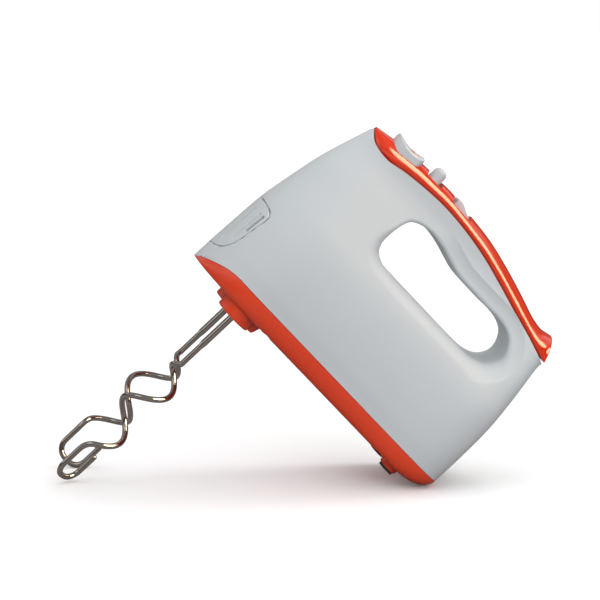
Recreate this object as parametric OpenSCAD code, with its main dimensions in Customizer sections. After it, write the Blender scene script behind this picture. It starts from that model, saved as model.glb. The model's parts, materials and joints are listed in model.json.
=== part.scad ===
// Hand mixer with two dough hooks, resting on the hook tips and on its heel.
// Every sub-part is drawn upright: X runs from nose to heel, Z up, hooks down, origin on the flat
// underside between the two spindles. One module, at_rest(), lays each sub-part down as it stands.

/* [Body] */
// From the spindles forward to the nose tip
nose_reach = 41.7; // [38:0.1:50]
// From the spindles back to the heel
heel_reach = 166; // [138:1:200]
// Height of the cover's crown above the underside
crown_height = 144.5; // [138:0.5:160]
// Height of the seam between base cover and body
seam_height = 12.6; // [10:0.1:15]
// Wall of the moulded shells
shell_wall = 2.2; // [1.8:0.1:2.6]
// Half the width of the handle
grip_half_width = 16.5; // [15:0.5:19]
// Free room between a spindle gear and the shell
gear_room = 2.2; // [1:0.1:4]

/* [Drive] */
// Distance between the two spindles
spindle_spacing = 44; // [40:0.5:53]
// Height of the motor axis above the underside
drive_height = 42; // [40:0.5:46]
// Starts of the worm
worm_starts = 3; // [2:1:4]
// Teeth of each spindle gear
gear_teeth = 40; // [36:2:44]
// Pitch radius of the worm
worm_radius = 5.6; // [5:0.1:6.2]
// Width of a spindle gear
gear_width = 8; // [6:0.5:9]
// Outer radius of the motor's stator
stator_radius = 27; // [24:0.5:28]
// Length of the stator stack
stack_length = 30; // [24:1:34]
// Radius of the motor shaft
shaft_radius = 3; // [2.5:0.1:3.6]
// Radius of the armature core
armature_radius = 15; // [13:0.5:15.3]

/* [Dough hooks] */
// Radius of a hook's shank
shank_radius = 2.25; // [2:0.05:2.7]
// Radius of a hook's wire below the shank
wire_radius = 1.85; // [1.5:0.05:2.2]
// Radius of the spiral, to the wire's centre
spiral_radius = 9.8; // [8:0.1:12]
// Height of one full turn of the spiral
spiral_pitch = 42.15; // [38:0.5:46]
// Wire centre of the lowest bend, below the underside
hook_drop = 153; // [148:0.5:160]
// Length of shank held inside the socket
shank_grip = 49; // [40:1:50]

/* [Controls] */
// Travel of the eject button
eject_stroke = 5; // [3:0.5:6]
// Travel of the speed selector
selector_stroke = 9; // [6:0.5:10]
// Travel of the turbo button
turbo_stroke = 1.5; // [1:0.1:2]

/* [Fits] */
// Running clearance of a shaft, on the radius
running = 0.05; // [0.02:0.01:0.1]
// Gap between neighbouring pieces that don't fasten to each other
gap = 0.4; // [0.3:0.05:0.6]
// Radius of a screw's thread
screw_radius = 1.5; // [1.2:0.1:1.8]
// Radius of the hole in the cord inlet bush
cord_hole_radius = 3.5; // [3:0.1:4]

/* [Hidden] */
$fn = 48;

far = 400;
spindle_y = spindle_spacing / 2;
worm_pitch = 2 * PI * (spindle_y - worm_radius) / gear_teeth;
gear_module = worm_pitch / PI;
gear_radius = spindle_y - worm_radius;
worm_lead = worm_pitch * worm_starts;
tooth_up = 0.7 * gear_module;
tooth_down = 1.1 * gear_module;
tooth_half = 0.19 * worm_pitch;
flank = tan(20);
body_half_width = spindle_y + gear_radius + tooth_up + gear_room + shell_wall;

// Curves. smooth() draws a Catmull-Rom curve through a few points.
function clamp(i, n) = max(0, min(n - 1, i));
function knot(a, b, c, d, t) =
    0.5 * ((2 * b) + (c - a) * t + (2 * a - 5 * b + 4 * c - d) * t * t
        + (3 * b - a - 3 * c + d) * t * t * t);
function smooth(p, steps = 4) = concat(
    [for (i = [0:len(p) - 2]) for (s = [0:steps - 1])
        knot(p[clamp(i - 1, len(p))], p[i], p[i + 1], p[clamp(i + 2, len(p))], s / steps)],
    [p[len(p) - 1]]);
function blend(a, b, t) = a + (b - a) * t;

// Where the nose, the heel and the sides stand at each height, as [height, place]
nose_line = [
    [0, -nose_reach], [12.7, -nose_reach + 0.2], [55.5, -nose_reach + 1.9],
    [92.9, -nose_reach + 7.5], [109, -nose_reach + 11.1],
    [crown_height - 7.5, -nose_reach + 19.2], [crown_height + 4, -nose_reach + 23]
];
heel_line = [
    [0, heel_reach], [31, heel_reach], [57.5, heel_reach - 0.8], [83.4, heel_reach - 4],
    [108, heel_reach - 7.5], [crown_height + 4, heel_reach - 13]
];
side_line = [
    [0, body_half_width - 6], [seam_height, body_half_width - 0.8], [25, body_half_width],
    [45, body_half_width - 1], [65, body_half_width - 4.5], [85, body_half_width - 11.5],
    [105, grip_half_width + 7.5], [120, grip_half_width + 2.2], [131, grip_half_width],
    [crown_height + 4, grip_half_width]
];
nose_length = 44;
heel_length = 44;
turn = 15;

// Half of a level slice, nose tip to heel tip, w inside the skin
function half_slice(z, w) = let (
    half = lookup(z, side_line) - w,
    front = lookup(z, nose_line) + w,
    back = lookup(z, heel_line) - w,
    run = blend(nose_length, 26, max(0, min(1, (z - 60) / 70)))
) concat(
    [for (a = [0:turn:90]) [front + run * (1 - cos(a)), half * sin(a)]],
    [for (a = [0:turn:90])
        [back - heel_length * (1 - pow(sin(a), 0.6)), half * pow(cos(a), 0.5)]]
);
function slice(z, w) = let (h = half_slice(z, w), n = len(h)) concat(
    [for (p = h) [p[0], -p[1], z]],
    [for (i = [n - 2:-1:1]) [h[i][0], h[i][1], z]]
);

// A closed skin over a stack of rings with equal numbers of points
module skin(rings) {
    n = len(rings[0]);
    m = len(rings);
    sides = [for (j = [0:m - 2]) for (i = [0:n - 1]) let (k = (i + 1) % n)
        each [[j * n + i, (j + 1) * n + i, j * n + k],
              [j * n + k, (j + 1) * n + i, (j + 1) * n + k]]];
    ends = [[for (i = [0:n - 1]) i], [for (i = [n - 1:-1:0]) (m - 1) * n + i]];
    polyhedron([for (r = rings) each r], concat(sides, ends));
}

levels = [-1, 6, seam_height, 25, 36, 48, 60, 72, 84, 95, 106, 116, 126, 136, crown_height + 4];
module body_block(w) {
    skin([for (z = levels) slice(z, w)]);
}

// Flat outline on the side plane, thickened across the whole width
module side_slab(outline, width = far) {
    translate([0, width / 2, 0])
        rotate([90, 0, 0])
            linear_extrude(height = width) polygon(outline);
}

// Seams on the side plane, as [x, height]
base_seam = smooth([
    [-nose_reach - 5, -3], [-nose_reach, 0.4], [-nose_reach + 3, 4], [-nose_reach + 8.5, 8],
    [-nose_reach + 18, 11.6], [-nose_reach + 32, seam_height], [20, seam_height]
]);
top_seam = smooth([
    [-nose_reach + 18.7, crown_height - 6.5], [-nose_reach + 23.3, crown_height - 12.2],
    [-nose_reach + 30, crown_height - 14.9], [-3, crown_height - 15.3],
    [10, crown_height - 12.5], [41, crown_height - 9.5], [heel_reach - 86, crown_height - 12.5],
    [heel_reach - 46, crown_height - 22.1], [heel_reach - 24, crown_height - 27.6],
    [heel_reach - 9, crown_height - 31.2]
]);
crown_line = smooth([
    [-nose_reach + 19.2, crown_height - 7.3], [-8, crown_height - 3.8],
    [14, crown_height - 1.1], [41, crown_height], [62, crown_height - 1.3],
    [heel_reach - 86, crown_height - 3.1], [heel_reach - 66, crown_height - 6.8],
    [heel_reach - 46, crown_height - 12], [heel_reach - 29, crown_height - 16.6],
    [heel_reach - 21, crown_height - 17.4], [heel_reach - 13, crown_height - 15.9]
], 3);

// The finger opening, on the side plane
grip_back = heel_reach - 29;
opening_line = smooth([
    [45, 81.6], [38.4, 82.8], [33.5, 86], [31, 90.5], [30.2, 97], [31.2, 105], [34.5, 112.5],
    [40, 116], [46, 117.3], [54, 117.2], [62, 115.6], [71.4, 113], [82, 111.2],
    [grip_back - 20, 110.8], [grip_back - 10, 110], [grip_back - 4, 106.5], [grip_back, 99.5],
    [grip_back, 92.5], [grip_back - 3.4, 86.5], [grip_back - 10, 82.8], [grip_back - 20, 81.6],
    [45, 81.6]
], 2);
opening_mid = [(30 + grip_back) / 2, 98];
function grown(p, mid, w) = [for (q = p) let (d = q - mid, s = [d[0] / (mid[0] - 30), d[1] / 18])
    q + w * [abs(s[0]) > 0.75 ? sign(d[0]) : s[0] * 1.3, sign(d[1]) * min(1, abs(s[1]) * 1.6)]];

// How the mixer rests: the lowest bend of the right hook and the heel's arc share one tangent
hook_phase = 154.85;
right_phase = hook_phase - 33;
leg_radius = 9.43;
leg_turns = 645.2;
bend_radius = 8.1;
spiral_top = 51.1;
spiral_end = hook_drop - 29.8;
leg_end = hook_drop - 20.5;
heel_arc = [20, seam_height - 0.2];
heel_mid = [heel_reach - heel_arc[0], heel_arc[1]];
function leg_angle(phase) = phase - leg_turns;
bend_mid = [abs(cos(leg_angle(right_phase))) * (leg_radius - bend_radius), bend_radius - hook_drop];
bend_reach = abs(cos(leg_angle(right_phase))) * bend_radius;
function drop(mid, arc, extra, a) =
    -mid[0] * sin(a) + mid[1] * cos(a) - norm([arc[0] * sin(a), arc[1] * cos(a)]) - extra;
function tilt_gap(a) = drop(heel_mid, heel_arc, 0, a)
    - drop(bend_mid, [bend_reach, bend_radius], wire_radius, a);
function tilt(low, high, n) = let (mid = (low + high) / 2)
    n == 0 ? mid : (tilt_gap(mid) < 0 ? tilt(low, mid, n - 1) : tilt(mid, high, n - 1));
rest_tilt = tilt(30, 60, 30);
floor_z = drop(heel_mid, heel_arc, 0, rest_tilt);
tail_tip = crown_line[len(crown_line) - 1];
rest_right = tail_tip[0] * cos(rest_tilt) + tail_tip[1] * sin(rest_tilt);
rest_left = -bend_mid[0] * cos(rest_tilt) + bend_mid[1] * sin(rest_tilt)
    - norm([bend_reach * cos(rest_tilt), bend_radius * sin(rest_tilt)]) - wire_radius;
rest_shift = -(rest_right + rest_left) / 2;
module at_rest() {
    translate([rest_shift, 0, -floor_z]) rotate([0, rest_tilt, 0]) children();
}

// Small helpers
module rod(r, h, p = [0, 0, 0]) {
    translate(p) cylinder(r = r, h = h);
}
module rod_x(r, x0, x1, y = 0, z = drive_height) {
    translate([x0, y, z]) rotate([0, 90, 0]) cylinder(r = r, h = x1 - x0);
}
module rod_y(r, y0, y1, x, z) {
    translate([x, y0, z]) rotate([-90, 0, 0]) cylinder(r = r, h = y1 - y0);
}
module box(lo, hi) {
    translate(lo) cube(hi - lo);
}
module spindle_pair() {
    for (s = [-1, 1]) translate([0, s * spindle_y, 0]) children();
}

// Shells
boss_places = [
    [-nose_reach + 17, 100], [19, 100], [heel_reach - 16, 30], [heel_reach - 14, 96],
    [-nose_reach + 15, 22]
];
boss_radius = 3.6;
post_places = [21.5, heel_reach - 43];
post_y = body_half_width - 9;
post_radius = 4;
module housing_outline(w) {
    side_slab(concat(base_seam, [
        [heel_reach + 10, seam_height], [heel_reach + 10, crown_height - 33],
        [heel_reach - 6, crown_height - 33 + w]
    ], [for (i = [len(top_seam) - 1:-1:0]) top_seam[i] + [0, -0.3]],
    [[-nose_reach + 17.4, crown_height - 6.6], [-nose_reach - 6, crown_height - 7]]));
}
// The shelf under the eject spring
spring_length = 18.5;
spring_low = crown_height - 18 - spring_length;
shelf_half = 13;
strut_x = 3;
strut_y = 4;
// Where the grille sits in the nose
grille_low = 13;
grille_half = 17;
grille_high = 57.6;
grille_back = -nose_reach + 10;
module housing(side) {
    intersection() {
        difference() {
            intersection() {
                body_block(0);
                housing_outline(0);
            }
            difference() {
                intersection() {
                    body_block(shell_wall);
                    side_slab([
                        [-nose_reach - 5, -5], [heel_reach + 5, -5],
                        [heel_reach + 5, crown_height - 36], [heel_reach - 24, crown_height - 20],
                        [heel_reach - 60, crown_height + 5], [-nose_reach + 22, crown_height + 5],
                        [-nose_reach + 22, crown_height - 20], [-nose_reach, crown_height - 30]
                    ]);
                }
                side_slab(grown(opening_line, opening_mid, shell_wall));
                for (p = boss_places) rod_y(boss_radius, -far / 2, far / 2, p[0], p[1]);
                difference() {
                    box([-shelf_half, -far / 2, spring_low - shell_wall],
                        [shelf_half, far / 2, spring_low]);
                    box([-strut_x - gap, -strut_y - gap, 0], [strut_x + gap, strut_y + gap, far]);
                }
                for (x = post_places) for (s = [-1, 1]) {
                    rod(post_radius, 14, [x, s * post_y, seam_height]);
                    box([x - 2, s > 0 ? post_y : -body_half_width, seam_height],
                        [x + 2, s > 0 ? body_half_width : -post_y, seam_height + 14]);
                }
            }
            side_slab(opening_line);
            for (p = boss_places) rod_y(screw_radius, -far / 2, far / 2, p[0], p[1]);
            for (x = post_places) for (s = [-1, 1])
                rod(screw_radius, 12, [x, s * post_y, seam_height - 1]);
            box([-nose_reach - 5, -grille_half, grille_low], [grille_back, grille_half, grille_high]);
            box([button_front - gap, -button_half - gap, spring_low + 2],
                [button_back + gap, button_half + gap, far]);
            rod_x(cord_seat, heel_reach - 12, heel_reach + 5, 0, cord_height);
        }
        box([-far / 2, side > 0 ? 0 : -far / 2, -20], [far / 2, side > 0 ? far / 2 : 0, far / 2]);
    }
}
module housing_left() {
    color("#cfd3d4") at_rest() housing(-1);
}
module housing_right() {
    color("#cfd3d4") at_rest() housing(1);
}

// Base cover: boat-shaped strip, two collars, fins and the underside
collar_radius = 12.4;
collar_drop = 8;
collar_floor = 1.6;
bush_radius = 7;
module base_cover() {
    heel_curve = [for (a = [0:9:90])
        [heel_mid[0] + heel_arc[0] * sin(a), heel_mid[1] - heel_arc[1] * cos(a)]];
    color("#dc4530") at_rest() difference() {
        union() {
            difference() {
                intersection() {
                    body_block(0);
                    side_slab(concat(heel_curve,
                        [for (i = [len(base_seam) - 1:-1:0]) base_seam[i] + [0, -0.2]],
                        [[-nose_reach - 5, -4], [-nose_reach + 2, 0]]));
                }
                intersection() {
                    body_block(shell_wall);
                    side_slab([
                        [-nose_reach + 12, shell_wall], [heel_mid[0], shell_wall],
                        [heel_reach - 8, 9], [heel_reach - 6, seam_height + 5],
                        [-nose_reach + 12, seam_height + 5]
                    ]);
                }
            }
            spindle_pair() rod(collar_radius, collar_drop + shell_wall, [0, 0, -collar_drop]);
            for (x = post_places) for (s = [-1, 1])
                intersection() {
                    rod(6, seam_height - 1.4, [x, s * post_y, 1]);
                    body_block(0);
                }
            for (s = [-1, 1])
                translate([0, s * spindle_y + 1, 0]) rotate([90, 0, 0]) linear_extrude(2)
                    polygon([[collar_radius - 2, 1], [17.4, 1], [15.6, -5.6], [15, -6.6],
                        [collar_radius - 2, -6.6]]);
        }
        spindle_pair() {
            rod(bush_radius, collar_drop + 10, [0, 0, -collar_drop + collar_floor]);
            rod(socket_radius + 0.6, 20, [0, 0, -collar_drop - 1]);
        }
        for (x = post_places) for (s = [-1, 1]) {
            rod(screw_radius + 0.2, 30, [x, s * post_y, -1]);
            rod(screw_head + gap, 4, [x, s * post_y, -1]);
        }
        for (x = foot_places) for (s = [-1, 1])
            rod(foot_stem + 0.05, 10, [x, s * foot_y, -1]);
    }
}

// Handle cover: a crowned shell along the top, open below, slotted for the controls
cover_stations = [for (i = [0:1:26]) blend(-nose_reach + 19.4, heel_reach - 13, i / 26)];
function cover_half(x) = let (t = min(1, (x + nose_reach - 18.7) / 20))
    max(0.6, (grip_half_width - 0.2) * sqrt(1 - pow(1 - t, 2.2)));
function ring_half(x, w) = let (
    half = max(0.3, cover_half(x) - w),
    low = lookup(x, top_seam),
    rise = max(0.3, lookup(x, crown_line) - low - w)
) [for (a = [0:18:180])
    [x, half * sign(cos(a)) * pow(abs(cos(a)), 0.75), low + rise * pow(sin(a), 0.8)]];
function lowered(ring, d) = concat(ring, [
    [ring[0][0], -ring[0][1], ring[0][2] - d], [ring[0][0], ring[0][1], ring[0][2] - d]]);
module cover_block(w, d, stations) {
    skin([for (x = stations) lowered(ring_half(x, w), d)]);
}
button_front = -8.4;
button_back = 13.3;
button_half = 13.6;
knob_front = 22.5;
knob_back = 31;
knob_half = 5.5;
turbo_front = 45.9;
turbo_back = 60;
turbo_half = 8;
module handle_cover() {
    color("#ef432a") at_rest() difference() {
        cover_block(0, 0.01, cover_stations);
        cover_block(shell_wall, 3, [for (x = cover_stations) if (x > -nose_reach + 26
            && x < heel_reach - 22) x]);
        box([button_front - gap, -button_half - gap, 100],
            [button_back + gap, button_half + gap, far / 2]);
        box([knob_front - gap, -knob_half - selector_stroke / 2 - gap, 100],
            [knob_back + gap, knob_half + selector_stroke / 2 + gap, far / 2]);
        box([turbo_front - 2, -turbo_half - gap, 100], [turbo_back + gap, turbo_half + gap, far / 2]);
    }
}

// Nose grille: curved insert with upright slots
slot_count = 7;
module nose_grille() {
    color("#d3d6d7") at_rest() difference() {
        intersection() {
            body_block(0.5);
            box([-nose_reach - 5, -grille_half + gap, grille_low + gap],
                [grille_back, grille_half - gap, grille_high - gap]);
        }
        intersection() {
            body_block(shell_wall + 0.5);
            box([-nose_reach, -14, grille_low + 3], [0, 14, grille_high - 3]);
        }
        for (i = [0:slot_count - 1]) let (y = (i - (slot_count - 1) / 2) * 3.8)
            box([-nose_reach - 5, y - 0.8, grille_low + 8], [grille_back - 1, y + 0.8, grille_high - 5]);
    }
}

// Fasteners and feet
screw_head = 2.8;
screw_length = 18;
foot_places = [heel_reach - 29.5];
foot_y = 24;
foot_radius = 5.2;
foot_stem = 2.4;
module body_screws() {
    color("#8d9092") at_rest() for (p = boss_places)
        rod_y(screw_radius - 0.02, -screw_length / 2, screw_length / 2, p[0], p[1]);
}
module base_screws() {
    color("#8d9092") at_rest() for (x = post_places) for (s = [-1, 1])
        translate([x, s * post_y, 0]) {
            rod(screw_radius - 0.02, seam_height + 6, [0, 0, 3]);
            rod(screw_head, 1.8, [0, 0, 3 - 1.8]);
        }
}
module rubber_feet() {
    color("#3a3a3c") at_rest() for (x = foot_places) for (s = [-1, 1])
        translate([x, s * foot_y, 0]) {
            rod(foot_radius, 5, [0, 0, -5.01]);
            rod(foot_stem, 4.5, [0, 0, -0.02]);
        }
}

// Cord inlet: a bush through the back, below the handle
cord_height = 64;
cord_seat = 6;
module cord_inlet() {
    color("#3b3c3e") at_rest() {
        difference() {
            union() {
                rod_x(cord_seat - 0.02, heel_reach - 11, heel_reach + 1, 0, cord_height);
                rod_x(cord_seat + 2, heel_reach - 11, heel_reach - 8, 0, cord_height);
            }
            rod_x(cord_hole_radius, heel_reach - 20, heel_reach + 20, 0, cord_height);
        }
    }
}

// Gear train frame: a floor under the gears, two bearing walls for the worm
gear_low = drive_height - gear_width / 2;
gear_high = drive_height + gear_width / 2;
worm_half = 8;
frame_floor = gear_low - 5;
frame_top = gear_high + 4;
frame_half = spindle_y + 10;
socket_radius = 5;
bearing_radius = 6;
frame_front = -14;
frame_back = 24;
worm_walls = [frame_front, 12];
worm_wall = 5;
worm_wall_half = 7;
bearing_depth = 3;
floor_wall = 2.3;
post_r = 2.6;
post_x = 20.5;
pilot_radius = 1.2;
motor_screw_y = stator_radius - 2.5;
strut_in = stator_radius - 4.5;
module gearbox_frame() {
    color("#c9c3b4") at_rest() difference() {
        union() {
            box([frame_front, -frame_half, frame_floor],
                [frame_back, frame_half, frame_floor + floor_wall]);
            for (x = worm_walls)
                box([x, -worm_wall_half, frame_floor + 1],
                    [x + worm_wall, worm_wall_half, frame_top - 0.1]);
            for (s = [-1, 1])
                rod(post_r, frame_top - frame_floor - 0.1, [post_x, s * (frame_half - 3), frame_floor]);
            for (s = [-1, 1]) box(
                [post_x - 1, s > 0 ? strut_in : -stator_radius, drive_height - 4],
                [stack_front - 0.01, s > 0 ? stator_radius : -strut_in, drive_height + 4]);
            spindle_pair() rod(bush_radius + 2, 5.3, [0, 0, frame_floor - 3]);
        }
        rod_x(bearing_radius, worm_walls[0] + 1, worm_walls[0] + 1 + bearing_depth);
        rod_x(shaft_radius + 1, worm_walls[0] + 2, 0);
        rod_x(bearing_radius, worm_walls[1], worm_walls[1] + bearing_depth);
        rod_x(shaft_radius + 1, worm_walls[1] - 1, stack_front);
        spindle_pair() rod(bush_radius, 20, [0, 0, frame_floor - 8]);
        for (s = [-1, 1])
            rod_x(screw_radius, stack_front - 9, stack_front + 1, s * motor_screw_y);
    }
}
cover_wall = 2.5;
module gearbox_cover() {
    color("#c9c3b4") at_rest() difference() {
        box([frame_front, -frame_half, frame_top], [frame_back, frame_half, frame_top + cover_wall]);
        spindle_pair() rod(socket_radius + 0.6, 20, [0, 0, frame_top - 5]);
        for (s = [-1, 1]) rod(pilot_radius, 10, [post_x, s * (frame_half - 3), frame_top - 1]);
    }
}
module ring_bush(outer, bore, low, high) {
    difference() {
        rod(outer, high - low, [0, 0, low]);
        rod(bore, high - low + 2, [0, 0, low - 1]);
    }
}
lower_bush = [-collar_drop + collar_floor, 3];
upper_bush = [frame_floor - 3, frame_floor + 3];
module spindle_bushes() {
    color("#b08d57") at_rest() spindle_pair() for (b = [lower_bush, upper_bush])
        ring_bush(bush_radius - 0.01, socket_radius + running, b[0], b[1]);
}

// Motor, along the body
stack_front = 40;
stack_back = stack_front + stack_length;
coil_end = 6;
comm_front = stack_back + coil_end + 6;
comm_back = comm_front + 11;
fan_front = comm_back + 4;
fan_back = fan_front + 8;
bracket_x = fan_back + 4;
bracket_wall = 4;
bracket_half = [14, 9];
leg_half = 6;
bore_radius = armature_radius + 0.6;
yoke_wall = 5;
slot_radius = stator_radius - yoke_wall;
pole_half = armature_radius * 0.8;
module along_motor(x) {
    translate([x, 0, drive_height]) rotate([0, 90, 0]) children();
}
module stator_core() {
    color("#8f9499") at_rest() difference() {
        along_motor(stack_front) cylinder(r = stator_radius, h = stack_length);
        intersection() {
            along_motor(stack_front - 1) cylinder(r = slot_radius, h = stack_length + 2);
            union() for (s = [-1, 1])
                box([0, s > 0 ? pole_half : -far, 0], [far, s > 0 ? far : -pole_half, far]);
        }
        along_motor(stack_front - 1) cylinder(r = bore_radius, h = stack_length + 2);
        for (s = [-1, 1]) {
            rod_x(screw_radius, stack_front - 1, stack_front + 10, s * motor_screw_y);
            rod_x(screw_radius, stack_back - 10, far, 0, drive_height + s * motor_screw_y);
        }
    }
}
module field_coils() {
    color("#b0682f") at_rest() for (s = [-1, 1]) difference() {
        intersection() {
            along_motor(stack_front - coil_end)
                cylinder(r = slot_radius - 0.5, h = stack_length + 2 * coil_end);
            box([0, -far, s > 0 ? drive_height + 3 : 0],
                [far, far, s > 0 ? far : drive_height - 3]);
        }
        along_motor(0) cylinder(r = bore_radius + 0.5, h = far);
        box([stack_front - 0.4, -pole_half - 0.4, 0], [stack_back + 0.4, pole_half + 0.4, far]);
    }
}
module motor_shaft() {
    color("#b9bcc0") at_rest() rod_x(shaft_radius, worm_walls[0] + 1.5, bracket_x + bracket_wall - 0.5);
}
module worm() {
    thread = [for (k = [0:worm_starts - 1]) let (c = k * 360 / worm_starts, per = 360 / worm_lead)
        each [for (q = [
            [-(tooth_half + tooth_down * flank), -tooth_down], [-tooth_half, 0],
            [-(tooth_half - tooth_up * flank), tooth_up], [0, tooth_up],
            [tooth_half - tooth_up * flank, tooth_up], [tooth_half, 0],
            [tooth_half + tooth_down * flank, -tooth_down], [worm_pitch / 2, -tooth_down]
        ]) let (a = c + (q[0] + worm_half) * per, r = worm_radius + q[1])
            [-r * sin(a - 2 * worm_half * per), r * cos(a - 2 * worm_half * per)]]];
    color("#9ea2a6") at_rest() difference() {
        translate([-worm_half, 0, drive_height]) rotate([0, 90, 0])
            linear_extrude(height = 2 * worm_half, twist = -720 * worm_half / worm_lead,
                slices = 40) polygon(thread);
        rod_x(shaft_radius, -20, 20);
    }
}
module armature_core() {
    color("#7d8288") at_rest() difference() {
        along_motor(stack_front) cylinder(r = armature_radius, h = stack_length);
        for (i = [0:11]) along_motor(stack_front - 1) rotate([0, 0, i * 30])
            translate([armature_radius - 5, -1.2, 0]) cube([8, 2.4, stack_length + 2]);
        rod_x(shaft_radius, 0, 200);
    }
}
module armature_windings() {
    color("#a85f2a") at_rest() for (x = [stack_front - coil_end + 0.5, stack_back + 0.1])
        difference() {
            along_motor(x) cylinder(r = armature_radius - 2, h = coil_end - 0.6);
            rod_x(shaft_radius, 0, 200);
        }
}
comm_radius = 9;
module commutator() {
    color("#b87745") at_rest() difference() {
        rod_x(comm_radius, comm_front, comm_back);
        for (i = [0:11]) along_motor(comm_front - 1) rotate([0, 0, i * 30])
            translate([comm_radius - 1.5, -0.3, 0]) cube([3, 0.6, 20]);
        rod_x(shaft_radius, 0, 200);
    }
}
fan_radius = 22;
module cooling_fan() {
    color("#5c6064") at_rest() difference() {
        union() {
            rod_x(6, fan_front, fan_back);
            rod_x(fan_radius, fan_front, fan_front + 1.5);
            for (i = [0:8]) along_motor(fan_front) rotate([0, 0, i * 40])
                translate([5, -0.8, 0]) cube([fan_radius - 6, 1.6, 8]);
        }
        rod_x(shaft_radius, 0, 200);
    }
}
module bearing(x0, x1, outer) {
    difference() {
        rod_x(outer, x0, x1);
        rod_x(shaft_radius + running, x0 - 1, x1 + 1);
    }
}
module front_bearing() {
    color("#b08d57") at_rest() {
        bearing(worm_walls[0] + 1, worm_walls[0] + 1 + bearing_depth, bearing_radius - 0.01);
        bearing(worm_walls[1], worm_walls[1] + bearing_depth, bearing_radius - 0.01);
    }
}
module rear_bearing() {
    color("#b08d57") at_rest() bearing(bracket_x, bracket_x + bracket_wall, bearing_radius - 0.01);
}
module motor_bracket() {
    color("#9b9fa3") at_rest() difference() {
        union() {
            box([bracket_x, -bracket_half[0], drive_height - bracket_half[1]],
                [bracket_x + bracket_wall, bracket_half[0], drive_height + bracket_half[1]]);
            box([bracket_x, -leg_half, drive_height - stator_radius],
                [bracket_x + bracket_wall, leg_half, drive_height + stator_radius]);
            for (s = [-1, 1]) box(
                [stack_back + 0.01, -leg_half, drive_height + (s > 0 ? strut_in : -stator_radius)],
                [bracket_x + 1, leg_half, drive_height + (s > 0 ? stator_radius : -strut_in)]);
        }
        rod_x(bearing_radius, 0, 300);
        for (s = [-1, 1])
            rod_x(screw_radius, 0, 200, 0, drive_height + s * motor_screw_y);
    }
}
module motor_screws() {
    color("#8d9092") at_rest() for (s = [-1, 1]) {
        rod_x(screw_radius - 0.02, stack_front - 8, stack_front + 9.5, s * motor_screw_y);
        rod_x(screw_radius - 0.02, stack_back - 9.5, bracket_x + bracket_wall - 0.5, 0,
            drive_height + s * motor_screw_y);
    }
}
brush_half = 2.6;
brush_x = comm_front + 5.5;
holder_out = 30;
module brush_pair() {
    for (s = [0, 1]) mirror([0, s, 0]) translate([brush_x, 0, drive_height]) children();
}
module brush_holders() {
    color("#c2a15a") at_rest() brush_pair() difference() {
        box([-4, comm_radius + 1, -4], [4, holder_out, 4]);
        box([-brush_half - 0.05, 0, -brush_half - 0.05],
            [brush_half + 0.05, holder_out - 1, brush_half + 0.05]);
    }
}
module carbon_brushes() {
    color("#2f2f31") at_rest() brush_pair() difference() {
        box([-brush_half, comm_radius - 1, -brush_half], [brush_half, comm_radius + 10, brush_half]);
        translate([-20, 0, 0]) rotate([0, 90, 0]) cylinder(r = comm_radius + 0.03, h = 40);
    }
}
module brush_springs() {
    color("#b9bcc0") at_rest() brush_pair()
        for (i = [0:5]) translate([0, comm_radius + 10.36 + i * 1.8, 0]) rotate([90, 0, 0])
            rotate_extrude($fn = 24) translate([1.9, 0]) circle(r = 0.35, $fn = 16);
}

// Electronics
board_front = 52;
board_back = 104;
board_half = 18;
board_low = 5.2;
board_top = 6.8;
module speed_board() {
    color("#3f7a4c") at_rest() {
        box([board_front, -board_half, board_low], [board_back, board_half, board_top]);
        for (x = [60, 74, 88]) rod(4, 6, [x, 8, board_top]);
        box([64, -14, board_top], [76, -6, board_top + 4.2]);
    }
}
switch_front = 17;
switch_back = 40;
module switch_block() {
    color("#2e3134") at_rest() difference() {
        box([switch_front, -10, crown_height - 22], [switch_back, 10, crown_height - 15]);
        box([switch_front + 3, -8.5, crown_height - 19], [switch_back - 3, 8.5, crown_height - 10]);
    }
}

// Spindles: a helical gear pressed onto a socket
gear_turn = gear_width * (worm_lead / (2 * PI * worm_radius)) / gear_radius * 180 / PI;
module spindle_gear(phase) {
    step = 360 / gear_teeth;
    teeth = [for (k = [0:gear_teeth - 1]) each [for (q = [
            [-(worm_pitch / 2), -tooth_down], [-(tooth_half + tooth_down * flank), -tooth_down],
            [-tooth_half, 0], [-(tooth_half - tooth_up * flank), tooth_up],
            [tooth_half - tooth_up * flank, tooth_up], [tooth_half, 0],
            [tooth_half + tooth_down * flank, -tooth_down]
        ]) let (a = 90 + k * step + phase + q[0] / gear_radius * 180 / PI, r = gear_radius + q[1])
            [r * cos(a), r * sin(a)]]];
    difference() {
        translate([0, 0, gear_low]) rotate([0, 0, -gear_turn / 2])
            linear_extrude(height = gear_width, twist = -gear_turn, slices = 3) polygon(teeth);
        rod(socket_radius, far, [0, 0, 0]);
    }
}
module left_gear() {
    color("#e8e4d8") at_rest() translate([0, -spindle_y, 0]) spindle_gear(0);
}
module right_gear() {
    color("#e8e4d8") at_rest() translate([0, spindle_y, 0]) spindle_gear(180 / gear_teeth);
}
socket_low = -collar_drop + 0.5;
// The plate stops clear of the sockets at the end of its stroke
socket_high = shank_grip + 7;
ear_low = -6.5;
ear_high = -2.5;
ear_half = 4.2;
ear_thick = 1.2;
module socket() {
    difference() {
        rod(socket_radius, socket_high - socket_low, [0, 0, socket_low]);
        rod(shank_radius + running, far, [0, 0, -20]);
        box([-ear_half - 0.3, -ear_thick / 2 - 0.15, -20],
            [ear_half + 0.3, ear_thick / 2 + 0.15, ear_high + 0.2]);
    }
}
module left_socket() {
    color("#b9bcc0") at_rest() translate([0, -spindle_y, 0]) socket();
}
module right_socket() {
    color("#b9bcc0") at_rest() translate([0, spindle_y, 0]) socket();
}

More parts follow.
